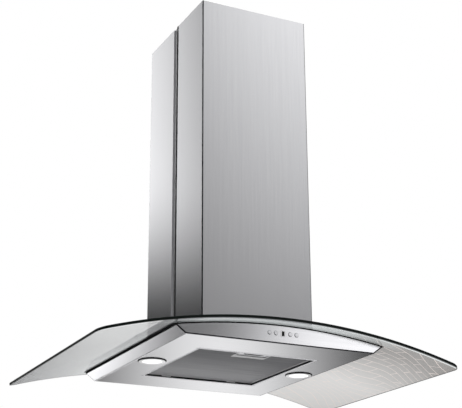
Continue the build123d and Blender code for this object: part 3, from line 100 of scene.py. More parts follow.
class HoodSizes(bpy.types.PropertyGroup):
    """Sizes of the dressed pieces and of their surface patterns"""

    pane_slice: length("Pane slice", "Width of one flat of the bent glass", 6.0)
    bend_radius: length("Bend radius", "Bend of the glass's underside", 1545.0)
    pane_thickness: length("Pane thickness", "Thickness of the glass", 6.0)
    pane_corner: length("Pane corner", "Rounding of the glass's corners", 22.0)
    pane_arris: length("Pane arris", "Chamfer round the glass's edge", 0.8)
    opening_width: length("Opening width", "Air opening in the glass, side to side", 190.0)
    opening_depth: length("Opening depth", "Air opening in the glass, front to back", 230.0)
    opening_corner: length("Opening corner", "Rounding of the air opening's corners", 24.0)
    clamp_hole: length("Clamp hole", "Radius of the glass's clamp holes", 5.5)
    clamp_across: length("Clamp width", "Clamp holes apart, side to side", 247.8)
    clamp_along: length("Clamp depth", "Clamp holes apart, front to back", 160.0)
    # Painted shade: the dark joint is a band of dark steel laid along the fascias' edges, for the shadow in
    # the joint
    joint: length("Joint", "Width of the dark joint along the fascias' edges", 1.7)
    panel_ease: length("Panel ease", "Rounding of the body panels' edges", 1.1)
    filter_opening_width: length("Filter opening width", "Filter opening, side to side", 300.0)
    filter_opening_depth: length("Filter opening depth", "Filter opening, front to back", 330.0)
    opening_bead: length("Opening bead", "Radius of the bead round the filter opening", 1.2)
    opening_lip: length("Opening lip", "How far past the filter opening's size its walls may lie", 0.2)
    seal_lap: length("Seal lap", "How far the seal laps over each side panel", 2.4)
    seal_lap_sheet: length("Seal lap sheet", "Thickness of the seal's lap", 0.5)
    seal_lip: length("Seal lip", "How far the seal's lip reaches out under the glass", 5.5)
    seam_lap: length("Seam lap", "How far the seam's seal laps over the front cover", 1.6)
    seam_lip: length("Seam lip", "How far the seam's seal stands out of the flue's side", 0.3)
    seam_gap: length("Seam gap", "Gap between the seam's lap and the front cover", 0.02)
    clearance: length("Clearance", "Gap between a laid piece and what it lies on", 0.05)
    film_patch: length("Film patch", "Size of the patches of film on the glass", 80.0)
    print_border: length("Print border", "Width of the black border along the glass's front edge", 5.0)
    print_line: length("Print line", "Width of the black line along the glass's other edges", 3.2)
    print_margin: length("Print margin", "Width of the clear line behind the black border", 6.0)
    print_fade: length("Print fade", "Width over which a print begins", 0.5)
    flue_bend: length("Flue bend", "Radius of the flue covers' bends", 2.5)
    window_rim: length("Window rim", "Rim of the display window hidden behind the fascia", 1.8)
    window_border: length("Window border", "White print beside the display, left and right", 1.7)
    window_line: length("Window line", "White print above and below the display", 0.5)
    grain_pitch: length("Grain pitch", "Spacing of the brushed scratches", 0.7)
    grain_run: length("Grain run", "Length of the brushed scratches", 140.0)
    scratch: length("Scratch", "Depth of the brushed scratches", 0.05)
    dot_pitch: length("Dot pitch", "Spacing of the glass's printed dots, side to side", 7.5)
    line_run: length("Line run", "Length of the cells in the printed line network", 78.0)
    line_row: length("Line row", "Width of the cells in the printed line network", 27.0)
    line_width: length("Line width", "Half the width of a printed line", 1.1)
    line_sway: length("Line sway", "How far the printed lines wander", 160.0)
    line_wander: length("Line wander", "Size of the bends in the printed lines", 190.0)
    mesh_step: length("Mesh step", "Half the width of one diamond of the filter mesh", 4.5)
    mesh_pitch: length("Mesh pitch", "Half the height of one diamond of the filter mesh", 2.6)
    mesh_strand: length("Mesh strand", "Width of a strand of the filter mesh", 0.8)
    mesh_sheet: length("Mesh sheet", "Thickness of the filter mesh", 0.3)
    roll_band: length("Roll band", "Width of the rollers' bands on the filter mesh", 9.0)
    roll_run: length("Roll run", "Length of the rollers' bands on the filter mesh", 160.0)
    tray_edge: length("Tray edge", "Width of the edge of the latch's tray", 4.0)
    # Painted shade: the blackened flank is a black band laid on the bezels' outer wall
    bezel_flank: length("Bezel flank", "Width of the lamp bezels' blackened flank", 2.1)
    plate_haze: length("Plate haze", "Size of the patches of haze on the chrome plate", 9.0)
    spangle: length("Zinc spangle", "Size of the crystals in the galvanised coat", 9.0)
    moulded_grain: length("Moulded grain", "Spacing of the moulded plastic's texture", 0.8)


class HoodColours(bpy.types.PropertyGroup):
    """Colours of the finishes"""

    steel: colour("Steel", "Brushed stainless, light streaks", "d2d2d4")
    steel_streak: colour("Steel streak", "Brushed stainless, dark streaks", "cacacd")
    # Painted shade: a dark steel for the shadow in the fascias' joints and on the filter opening's walls
    painted_gap_shade: colour("Sheared edge", "Cut edges of the steel sheet", "242427")
    blasted: colour("Blasted", "Bead round the filter opening", "e6e6e8")
    # Painted reflection: a dark tone laid on the flue's bends, for the dark surroundings that they mirror
    bend: colour("Bend", "Outer skin of the flue's bends", "2a2a2d")
    glass: colour("Glass", "Tint of the glass", "e9eeee")
    glass_edge: colour("Glass edge", "Ground edge of the glass", "050a08")
    frit: colour("Frit", "Fired dots on the glass, at the front", "6b6b6d")
    frit_rear: colour("Rear frit", "Fired dots on the glass, at the rear", "cacacc")
    frit_warm: colour("Warm frit", "Fired screen round the line network, at the front", "7a7571")
    frit_pale: colour("Pale frit", "Fired screen round the line network, at the rear", "d8d6d4")
    frit_line: colour("Frit line", "Fired lines on the glass", "ecdcd4")
    # Painted light: a pale strip that lifts the glass ahead of the fascia, over the body's shade
    veil_painted_light: colour("Frit veil", "Fired strip on the glass in front of the fascia", "e4eaea")
    rubber: colour("Rubber", "Seals", "0c0c0d")
    zinc: colour("Zinc", "Galvanised sheet", "b9bdc0")
    zinc_dark: colour("Zinc crystal", "Darker crystals of the galvanised coat", "9da2a6")
    anodised: colour("Anodised", "Filter frame", "dededf")
    mesh: colour("Mesh", "Filter mesh at the front", "9a9a9e")
    mesh_pale: colour("Pale mesh", "Filter mesh at the rear", "dadadc")
    chrome: colour("Chrome", "Lamp bezels", "eeeeef")
    # Painted shade: black laid on the bezels' flank, for the dark ring round each lamp
    chrome_flank_painted_shade: colour("Chrome flank", "Blackened flank of the lamp bezels", "0c0c0d")
    lens: colour("Lens", "Frosted lamp lenses", "f9f9f9")
    cup: colour("Lamp cup", "Spun lamp housings", "e7e7e7")
    quartz: colour("Quartz", "Lamp capsules", "f9f8f3")
    acrylic: colour("Acrylic", "Display window", "070708")
    window_border: colour("Window border", "White print round the display window", "f4f4f4")
    board: colour("Board", "Control board", "307c4f")
    enamel: colour("Enamel", "Motor shell", "303033")
    can: colour("Can", "Capacitor", "cecec8")
    plated: colour("Plated", "Zinc-plated fasteners", "dad9d1")
    paper: colour("Paper", "Studio floor", "e9e9e9")
    grey_plastic: colour("Grey plastic", "Blower mouldings", "74787c")
    black_plastic: colour("Black plastic", "Small housings", "1b1b1c")


class StudioSettings(bpy.types.PropertyGroup):
    """Camera and floor"""

    camera_place: FloatVectorProperty(
        name="Camera",
        description="Where the camera stands",
        default=(-1.2789, -2.6140, -1.5056),
        unit="LENGTH",
    )
    camera_heading: angle("Heading", "Camera turned from +Y towards +X", 26.28)
    camera_pitch: angle("Pitch", "Camera turned up", 19.65)
    camera_roll: angle("Roll", "Camera turned clockwise about its view", 0.29)
    lens: FloatProperty(name="Lens", description="Focal length in millimetres", default=95.0)
    floor_drop: length("Floor drop", "Ceiling to floor", 2500.0)
    floor_size: length("Floor size", "Radius of the floor", 3000.0)


def settings():
    """The sizes and colours that a user may change."""
    return bpy.context.scene.hood_sizes, bpy.context.scene.hood_colours


def feed(node, inputs):
    """Set a node's inputs: each is a value, a socket, or a node whose first output is meant."""
    for name, value in dict(inputs).items():
        if isinstance(value, bpy.types.Node):
            value = value.outputs[0]
        if isinstance(value, bpy.types.NodeSocket):
            node.id_data.links.new(value, node.inputs[name])
        else:
            node.inputs[name].default_value = value


def add_node(tree, kind, inputs=(), **own):
    """Add one shader node with its own settings and its inputs."""
    node = tree.nodes.new("ShaderNode" + kind)
    for name, value in own.items():
        setattr(node, name, value)
    feed(node, inputs)
    return node


def new_material(name, **inputs):
    """A material with one Principled shader; returns it, the shader, and what adds nodes to it."""
    material = bpy.data.materials.new(name)
    material.use_nodes = True
    material.node_tree.nodes.clear()
    node = partial(add_node, material.node_tree)
    shader = node("BsdfPrincipled", {key.replace("_", " "): value for key, value in inputs.items()})
    node("OutputMaterial", {"Surface": shader})
    return material, shader, node


def rgba(values):
    """A colour property as a socket value."""
    return (*values, 1.0)


def stainless_belt_brushed(name, grain, rough_low, rough_high, smear, lean=0.0, shade=1.0):
    """Stainless sheet, belt-brushed along one axis.

    The belt leaves fine scratches along the grain: faint streaks, and gloss that smears across them.
    The scratches are drawn coarser than their real 0.1 to 0.2 mm, so that they show in the render.
    A sheet that is pulled out of true by its folds leans by a small slope, which moves what it mirrors.
    Shade below 1 darkens the tone: painted shade, for a sheet deep in a groove.
    """
    sizes, colours = settings()
    material, shader, node = new_material(
        name, Metallic=1.0, Anisotropic=smear, Anisotropic_Rotation=QUARTER_TURN
    )
    place = node("TexCoord").outputs["Object"]
    run = Vector(GRAIN[grain])
    fine_scale = (Vector((1, 1, 1)) - run) / sizes.grain_pitch + run / sizes.grain_run
    streaks = []
    for scale, detail in ((fine_scale, 2.0), (fine_scale * BROAD_SCALE, 1.0)):
        lay = node("Mapping", {"Vector": place, "Scale": scale})
        streaks.append(node("TexNoise", {"Vector": lay, "Scale": 1.0, "Detail": detail}))
    fine, broad = streaks
    both = node("Math", {0: broad, 1: BROAD_WEIGHT, 2: fine}, operation="MULTIPLY_ADD")
    share = node("MapRange", {"Value": both, "From Min": 0.3, "From Max": 1.0})
    dark, light = (rgba(Vector(tone) * shade) for tone in (colours.steel_streak, colours.steel))
    tone = node("MixRGB", {"Fac": share, "Color1": dark, "Color2": light})
    rough = node("MapRange", {"Value": share, "To Min": rough_high, "To Max": rough_low})
    along = node("VectorTransform", {"Vector": run}, convert_from="OBJECT", convert_to="WORLD")
    height = node("SeparateXYZ", {"Vector": place}).outputs["Z"]
    slope = node("Math", {0: height, 1: lean}, operation="MULTIPLY")
    out_of_true = node("Bump", {"Height": slope, "Strength": 1.0, "Distance": 1.0})
    dent = node(
        "Bump", {"Height": fine, "Strength": 0.04, "Distance": sizes.scratch, "Normal": out_of_true}
    )
    feed(shader, {"Base Color": tone, "Roughness": rough, "Tangent": along, "Normal": dent})
    return material


def mottled(name, light, dark, cell, rough_low, rough_high, bump, texture="TexNoise", **inputs):
    """A finish whose tone, gloss and height vary a little over cells of one real size."""
    material, shader, node = new_material(name, **inputs)
    place = node("TexCoord").outputs["Object"]
    grain = node(texture, {"Vector": place, "Scale": 1 / cell})
    value = grain.outputs["Fac"] if "Fac" in grain.outputs else grain.outputs["Color"]
    share = node("MapRange", {"Value": value, "From Min": 0.25, "From Max": 0.75})
    tone = node("MixRGB", {"Fac": share, "Color1": rgba(dark), "Color2": rgba(light)})
    rough = node("MapRange", {"Value": share, "To Min": rough_high, "To Max": rough_low})
    dent = node("Bump", {"Height": share, "Strength": 0.3, "Distance": bump})
    feed(shader, {"Base Color": tone, "Roughness": rough, "Normal": dent})
    return material


def past_edges(node, place, reaches, operation):
    """How far a point lies past its reach along two axes, each way from the origin: least or most."""
    split = node("SeparateXYZ", {"Vector": place})
    insets = []
    for axis, reach in reaches.items():
        away = node("Math", {0: split.outputs[axis]}, operation="ABSOLUTE")
        insets.append(node("Math", {0: away, 1: reach}, operation="SUBTRACT"))
    return node("Math", {0: insets[0], 1: insets[1]}, operation=operation)


def colour_past(material, middle, reaches, operation, start, soft, colour):
    """Lay a colour over a finish past its reaches from a middle."""
    node = partial(add_node, material.node_tree)
    shader = material.node_tree.nodes["Principled BSDF"]
    place = node("TexCoord").outputs["Object"]
    off = node("VectorMath", {0: place, 1: middle}, operation="SUBTRACT")
    past = past_edges(node, off, reaches, operation)
    mask = node("MapRange", {"Value": past, "From Min": start, "From Max": start + soft})
    base = shader.inputs["Base Color"].links[0].from_socket
    tone = node("MixRGB", {"Fac": mask, "Color1": base, "Color2": rgba(colour)})
    feed(shader, {"Base Color": tone})


def from_axis(node, place):
    """Distance of a point from the z axis."""
    flat = node("VectorMath", {0: place, 1: (1, 1, 0)}, operation="MULTIPLY")
    return node("VectorMath", {0: flat}, operation="LENGTH").outputs["Value"]


def dress(material, *names):
    """Give CAD nodes a finish."""
    for name in names:
        NODES[name].material_slots[0].material = material


def new_piece(name, mesh_maker, body, slot, materials, *replaced):
    """Make an object from a bmesh, ride it on a body and let it stand for CAD nodes."""
    bm = bmesh.new()
    mesh_maker(bm)
    mesh = bpy.data.meshes.new(name)
    bm.to_mesh(mesh)
    bm.free()
    for material in materials:
        mesh.materials.append(material)
    piece = bpy.data.objects.new(name, mesh)
    bpy.context.scene.collection.objects.link(piece)
    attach(piece, body)
    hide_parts(*replaced)
    return piece


def copy_node(bm, name):
    """Add a copy of a CAD node's mesh, with its own doubled vertices merged."""
    start = len(bm.verts)
    bm.from_mesh(NODES[name].data)
    bmesh.ops.remove_doubles(bm, verts=bm.verts[start:], dist=WELD)


def cut(bm, place, normal, snap=SNAP):
    """Cut a whole mesh along a plane."""
    geom = bm.verts[:] + bm.edges[:] + bm.faces[:]
    bmesh.ops.bisect_plane(bm, geom=geom, dist=snap, plane_co=place, plane_no=normal)


def move_new(bm, made, way):
    """Move the vertices that an operator has made."""
    verts = [part for part in made["geom"] if isinstance(part, bmesh.types.BMVert)]
    bmesh.ops.translate(bm, verts=verts, vec=way)


def strip(bm, section, way):
    """Extrude a closed section into a strip."""
    end = bm.faces.new([bm.verts.new(point) for point in section])
    move_new(bm, bmesh.ops.extrude_face_region(bm, geom=[end]), way)


def shade_smooth(faces, sharp):
    """Shade faces smoothly, apart from edges that turn by more than some degrees."""
    for face in faces:
        face.smooth = True
    for edge in {edge for face in faces for edge in face.edges}:
        edge.smooth = edge.calc_face_angle(0.0) < radians(sharp)


def bend_centre():
    """Height of the axis that the glass is bent round."""
    sizes, _ = settings()
    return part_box("glass_canopy")[1].z - sizes.bend_radius - sizes.pane_thickness


class HOOD_OT_glass(bpy.types.Operator):
    """Bend the glass canopy and print its wings"""

    bl_idname = "hood.glass"
    bl_label = "Glass canopy"

    FILM_HAZE = 0.012  # roughness where the film is thickest
    # Where each print begins and where it is full, in half widths of the body's seal
    DOTS_FROM, DOTS_FULL = -0.8, -1.2
    LINES_FROM, LINES_FULL = 0.15, 0.75
    # The strip ahead of the fascia is a pale band of painted light
    STRIP_FROM, STRIP_FULL = 1.2, 0.8
    # How much of the glass each print hides at most
    DOTS_COVER, LINES_COVER, STRIP_COVER = 0.9, 0.92, 0.68
    LINE_TONE = 0.9  # how much of their own tone the lines have
    LINE_TURN = radians(-22)
    OVAL = (1.0, 0.5, 1.0)  # the dots are twice as long as wide

    def execute(self, context):
        clear, *_ = self.float_glass("float_glass_toughened")
        materials = [self.printed_glass(), clear, self.ground_edge()]
        new_piece("bent_glass_canopy", self.pane, "hood", "canopy_glass", materials, "glass_canopy")
        return {"FINISHED"}

    def pane(self, bm):
        """Cut the pane and its openings flat, chamfer its edge, slice it and bend it to one radius."""
        sizes, _ = settings()
        low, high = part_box("glass_canopy")
        centre_z = bend_centre()
        outlines = (
            (high.x, high.y, sizes.pane_corner),
            (sizes.opening_width / 2, sizes.opening_depth / 2, sizes.opening_corner),
        )
        for half_x, half_y, corner in outlines:
            verts = [bm.verts.new((x * half_x, y * half_y, 0)) for x, y in CORNERS]
            bm.faces.new(verts)
            bmesh.ops.bevel(
                bm, geom=verts, offset=corner, segments=10, profile=0.5, affect="VERTICES", material=-1
            )
        bmesh.ops.delete(bm, geom=bm.faces[:], context="FACES_ONLY")
        for x, y in CORNERS:
            bolt = Matrix.Translation((x * sizes.clamp_across / 2, y * sizes.clamp_along / 2, 0))
            bmesh.ops.create_circle(bm, segments=24, radius=sizes.clamp_hole, matrix=bolt)
        bmesh.ops.triangle_fill(bm, edges=bm.edges[:], use_beauty=True)
        top = bmesh.ops.extrude_face_region(bm, geom=bm.faces[:])
        move_new(bm, top, (0, 0, sizes.pane_thickness))
        bmesh.ops.recalc_face_normals(bm, faces=bm.faces[:])
        rim = []
        for edge in bm.edges:
            ends = [vert.co for vert in edge.verts]
            level = abs(ends[0].z - ends[1].z) < sizes.pane_arris
            outer = max(abs(ends[0].x), abs(ends[0].y)) > sizes.opening_depth
            if level and outer and edge.calc_face_angle() > radians(60):
                rim.append(edge)
        bmesh.ops.bevel(
            bm, geom=rim, offset=sizes.pane_arris, segments=1, profile=0.5, affect="EDGES", material=-1
        )
        x = low.x + sizes.pane_slice
        while x < high.x:
            cut(bm, (x, 0, 0), (1, 0, 0), snap=WELD)
            x += sizes.pane_slice
        for vert in bm.verts:
            vert.co.z = centre_z + sqrt((sizes.bend_radius + vert.co.z) ** 2 - vert.co.x**2)
        bm.normal_update()
        for face in bm.faces:
            centre = face.calc_center_median()
            facing = face.normal.dot(Vector((centre.x, 0, centre.z - centre_z)).normalized())
            face.material_index = 0 if facing < -0.9 else 1 if facing > 0.9 else 2
        shade_smooth(bm.faces[:], 25)

    def float_glass(self, name):
        """Toughened float glass, fire-polished: clear, with a faint grey-green cast and a trace of film."""
        sizes, colours = settings()
        material, shader, node = new_material(
            name, Transmission_Weight=1.0, IOR=1.52, Base_Color=rgba(colours.glass)
        )
        place = node("TexCoord").outputs["Object"]
        film = node("TexNoise", {"Vector": place, "Scale": 1 / sizes.film_patch})
        rough = node("MapRange", {"Value": film, "To Min": 0.0, "To Max": self.FILM_HAZE})
        feed(shader, {"Roughness": rough})
        return material, shader, node, place

    def printed_glass(self):
        """The same glass with ceramic frit fired on: a dot screen on one wing, a line network on the other.

        The frit shows through the glass's gloss. The dots are coarser than a real screen of about 1 mm,
        so that they show in the render. A pale strip of painted light lies ahead of the fascia, over the
        body's shade, and a black border round the pane.
        """
        sizes, colours = settings()
        material, shader, node, place = self.float_glass("float_glass_frit_printed")
        split = node("SeparateXYZ", {"Vector": place})
        along, back = split.outputs["X"], split.outputs["Y"]
        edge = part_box("body_seal")[1].x
        dots_start, dots_end = edge * self.DOTS_FROM, edge * self.DOTS_FULL
        left = node(
            "MapRange",
            {"Value": along, "From Min": dots_start, "From Max": dots_end, "To Max": self.DOTS_COVER},
        )
        lines_start, lines_end = edge * self.LINES_FROM, edge * self.LINES_FULL
        right = node(
            "MapRange",
            {"Value": along, "From Min": lines_start, "From Max": lines_end, "To Max": self.LINES_COVER},
        )
        dotted = node("Math", {0: self.dot_screen(node, place), 1: left}, operation="MULTIPLY")
        lined = node("Math", {0: self.line_network(node, place), 1: right}, operation="MULTIPLY")
        screens = node("Math", {0: dotted, 1: right}, operation="MAXIMUM")
        # Painted light: a pale strip ahead of the fascia, which lifts the shade that the body casts there
        ahead = self.strip_ahead(node, along, back, edge)
        veil = node("Math", {0: ahead, 1: self.STRIP_COVER}, operation="MULTIPLY")
        thin = node("MapRange", {"Value": right, "To Min": 1.0, "To Max": 0.5})
        pale = node("Math", {0: ahead, 1: thin}, operation="MULTIPLY")
        inked = node("Math", {0: screens, 1: veil}, operation="MAXIMUM")
        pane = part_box("glass_canopy")[1]
        rim = sizes.print_border - pane.y
        inner = rim + sizes.print_margin
        margin = node("MapRange", {"Value": back, "From Min": inner, "From Max": inner + sizes.print_fade})
        front = node("MapRange", {"Value": back, "From Min": rim + sizes.print_fade, "From Max": rim})
        past = past_edges(node, place, {"X": pane.x, "Y": pane.y}, "MAXIMUM")
        line_start, line_end = -sizes.print_line - 2 * SOFT, -sizes.print_line + 2 * SOFT
        line = node("MapRange", {"Value": past, "From Min": line_start, "From Max": line_end})
        border = node("Math", {0: front, 1: line}, operation="MAXIMUM")
        inside = node("Math", {0: inked, 1: margin}, operation="MULTIPLY")
        cover = node("Math", {0: inside, 1: border}, operation="MAXIMUM")
        cool = self.fade_back(node, back, -0.3 * pane.y, 0.95 * pane.y, colours.frit, colours.frit_rear)
        warm = self.fade_back(
            node, back, -0.75 * pane.y, 0.1 * pane.y, colours.frit_warm, colours.frit_pale
        )
        lines, strip_tone, black = (
            rgba(tone) for tone in (colours.frit_line, colours.veil_painted_light, colours.glass_edge)
        )
        tone = cool
        for mask, over in ((right, warm), (lined, lines), (pale, strip_tone), (border, black)):
            tone = node("MixRGB", {"Fac": mask, "Color1": tone, "Color2": over})
        frit = node("BsdfPrincipled", {"Base Color": tone, "Roughness": 0.06})
        surface = node("MixShader", {0: cover, 1: shader, 2: frit})
        feed(material.node_tree.nodes["Material Output"], {"Surface": surface})
        return material

    def dot_screen(self, node, place):
        """Rows of soft oval dots."""
        sizes, _ = settings()
        oval = node("Mapping", {"Vector": place, "Scale": self.OVAL})
        dots = node(
            "TexVoronoi",
            {"Vector": oval, "Scale": 1 / sizes.dot_pitch, "Randomness": 0.0},
            voronoi_dimensions="2D",
        )
        return node(
            "MapRange", {"Value": dots, "From Min": 0.55, "From Max": 0.3, "To Min": 0.2, "To Max": 1.0}
        )

    def line_network(self, node, place):
        """A network of long cells, whose lines wander."""
        sizes, _ = settings()
        wander = node("TexNoise", {"Vector": place, "Scale": 1 / sizes.line_wander, "Detail": 0.0})
        sway = {0: wander.outputs["Color"], 1: (sizes.line_sway,) * 3, 2: place}
        swayed = node("VectorMath", sway, operation="MULTIPLY_ADD")
        cells = node(
            "TexBrick",
            {
                "Vector": node("Mapping", {"Vector": swayed, "Rotation": (0, 0, self.LINE_TURN)}),
                "Scale": 1.0,
                "Mortar Size": sizes.line_width,
                "Mortar Smooth": 0.4,
                "Brick Width": sizes.line_run,
                "Row Height": sizes.line_row,
            },
        )
        return node("Math", {0: cells.outputs["Fac"], 1: self.LINE_TONE}, operation="MULTIPLY")

    def strip_ahead(self, node, along, back, edge):
        """The part of the glass ahead of the fascia, between the wings."""
        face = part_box("front_fascia")[0].y
        before = node("MapRange", {"Value": back, "From Min": face + 1 * MM, "From Max": face - 1 * MM})
        aside = node("Math", {0: along}, operation="ABSOLUTE")
        start, full = edge * self.STRIP_FROM, edge * self.STRIP_FULL
        beside = node("MapRange", {"Value": aside, "From Min": start, "From Max": full})
        return node("Math", {0: before, 1: beside}, operation="MULTIPLY")

    def fade_back(self, node, back, start, end, near, far):
        """A tone that goes from one colour to another towards the rear."""
        share = node("MapRange", {"Value": back, "From Min": start, "From Max": end})
        return node("MixRGB", {"Fac": share, "Color1": rgba(near), "Color2": rgba(far)})

    def ground_edge(self):
        """Ground and dulled glass edge: nearly black green, because light has far to go through it."""
        _, colours = settings()
        dark = Vector(colours.glass_edge)
        return mottled(
            "glass_edge_ground", dark * 1.5, dark, 1.5 * MM, 0.3, 0.45, 0.02 * MM, Specular_IOR_Level=0.08
        )


class HOOD_OT_flue(bpy.types.Operator):
    """Finish the flue covers, the inner flue and the strips in the seams"""

    bl_idname = "hood.flue"
    bl_label = "Flue"

    def execute(self, context):
        sizes, colours = settings()
        upper = stainless_belt_brushed("stainless_brushed_upper", "Z", 0.16, 0.19, 0.6)
        dress(upper, "upper_flue_front", "upper_flue_rear")
        cover = stainless_belt_brushed("stainless_brushed_upright_painted_bends", "Z", 0.16, 0.19, 0.6)
        # Painted reflection: the outer skin of each bend is darkened, for the dark surroundings that the
        # bend mirrors
        reaches = {"X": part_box("flue_front_cover")[1].x, "Y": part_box("flue_rear_cover")[1].y}
        colour_past(cover, (0, 0, 0), reaches, "MINIMUM", -sizes.flue_bend, 2 * SOFT, colours.bend)
        dress(cover, "flue_front_cover", "flue_rear_cover")
        # Painted shade: the seam strips are darkened, for the shade deep in their groove
        satin = stainless_belt_brushed("stainless_satin_upright_painted_shade", "Z", 0.24, 0.3, 0.4, shade=0.8)
        dress(satin, "seam_strips")
        return {"FINISHED"}


class HOOD_OT_body(bpy.types.Operator):
    """Round the folded edges of the hood body's panels and finish them"""

    bl_idname = "hood.body"
    bl_label = "Hood body"

    FACING = 0.98  # least cosine between the outward way and the normal of an outer face
    EDGE, BEAD, LIP = 1, 2, 3  # places in a panel's list of materials
    BEAD_STEPS = 8

    def execute(self, context):
        _, colours = settings()
        fascia = stainless_belt_brushed("stainless_brushed_fascia", "X", 0.14, 0.17, 0.6, 0.1)
        across = stainless_belt_brushed("stainless_brushed_across", "X", 0.13, 0.16, 0.5)
        back = stainless_belt_brushed("stainless_brushed_front_to_back", "Y", 0.16, 0.2, 0.5)
        dark, pale = Vector(colours.painted_gap_shade), Vector(colours.blasted)
        # Painted shade: dull dark steel on the fascias' rounded edges and joints and on the filter opening's
        # walls, for the shadow in the gaps
        painted_gap_shade = mottled(
            "stainless_painted_gap_shade", dark * 1.3, dark, 1.2 * MM, 0.45, 0.6, 0.05 * MM, Metallic=1.0
        )
        # Bead-blasted stainless: pits scatter the light so widely that the steel looks pale from all sides
        blasted = mottled(
            "stainless_bead_blasted", pale, pale * 0.9, 2.0 * MM, 0.55, 0.7, 0.03 * MM, Metallic=0.3
        )
        low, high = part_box("right_side_panel")
        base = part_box("bottom_panel")[1]
        right = Vector((high.z - low.z, 0, base.x - high.x)).normalized()
        left = Vector((-right.x, 0, right.z))
        down = Vector((0, 0, -1))
        for name, outward in (("front_fascia", (0, -1, 0)), ("rear_fascia", (0, 1, 0))):
            self.ease(name, Vector(outward), [fascia, painted_gap_shade], joints=(down, right, left))
        self.ease("bottom_panel", down, [across, across, blasted, painted_gap_shade])
        self.ease("right_side_panel", right, [back, back])
        self.ease("left_side_panel", left, [back, back])
        return {"FINISHED"}

    def ease(self, name, outward, materials, joints=()):
        """Copy a panel and round the edges of its outer face, as a folded sheet has them.

        The joints are edges that face one of the given ways: a painted shade keeps them dark a little way
        in.
        The panel with the filter opening has two more materials, for the bead round it and its lip, painted
        dark as shade.
        """
        sizes, _ = settings()

        def panel(bm):
            copy_node(bm, name)
            bmesh.ops.dissolve_limit(bm, angle_limit=radians(0.5), verts=bm.verts[:], edges=bm.edges[:])
            bm.normal_update()
            rounded = []
            for edge in bm.edges:
                outer = [face for face in edge.link_faces if face.normal.dot(outward) > self.FACING]
                if len(outer) == 1 and edge.is_convex and edge.calc_face_angle() > radians(30):
                    rounded.append(edge)
            eased = bmesh.ops.bevel(
                bm,
                geom=rounded,
                offset=sizes.panel_ease,
                segments=3,
                profile=0.5,
                affect="EDGES",
                clamp_overlap=True,
                material=-1,
            )
            for face in eased["faces"]:
                face.material_index = self.EDGE
            for way in joints:
                reach = max(vert.co.dot(way) for vert in bm.verts) - sizes.panel_ease - sizes.joint
                cut(bm, way * reach, way)
                for face in bm.faces:
                    if face.normal.dot(outward) > self.FACING and face.calc_center_median().dot(way) > reach:
                        face.material_index = self.EDGE
            if len(materials) > self.BEAD:
                self.bead(bm)

        new_piece("eased_" + name, panel, "hood", "brushed_stainless", materials, name)

    def bead(self, bm):
        """Half-round bead that is pressed down all round the filter opening, and the opening's lip, painted
        dark as shade.
        """
        sizes, _ = settings()
        panel_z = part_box("bottom_panel")[0].z
        half_x, half_y = sizes.filter_opening_width / 2, sizes.filter_opening_depth / 2
        for face in bm.faces:
            centre = face.calc_center_median()
            within_x = abs(centre.x) < half_x + sizes.opening_lip
            within_y = abs(centre.y) < half_y + sizes.opening_lip
            if within_x and within_y and abs(face.normal.z) < 0.1:
                face.material_index = self.LIP
        loops = []
        for i in range(self.BEAD_STEPS + 1):
            turn = radians(180 * i / self.BEAD_STEPS)
            out, drop = sizes.opening_bead * (1 - cos(turn)), sizes.opening_bead * sin(turn)
            ends = [(x * (half_x + out), y * (half_y + out), panel_z - drop) for x, y in CORNERS]
            verts = [bm.verts.new(end) for end in ends]
            loops.append([bm.edges.new((verts[n], verts[(n + 1) % 4])) for n in range(4)])
        faces = []
        for one, other in zip(loops, loops[1:] + loops[:1]):
            faces += bmesh.ops.bridge_loops(bm, edges=one + other)["faces"]
        bmesh.ops.recalc_face_normals(bm, faces=faces)
        for face in faces:
            face.material_index = self.BEAD
        shade_smooth(faces, 40)


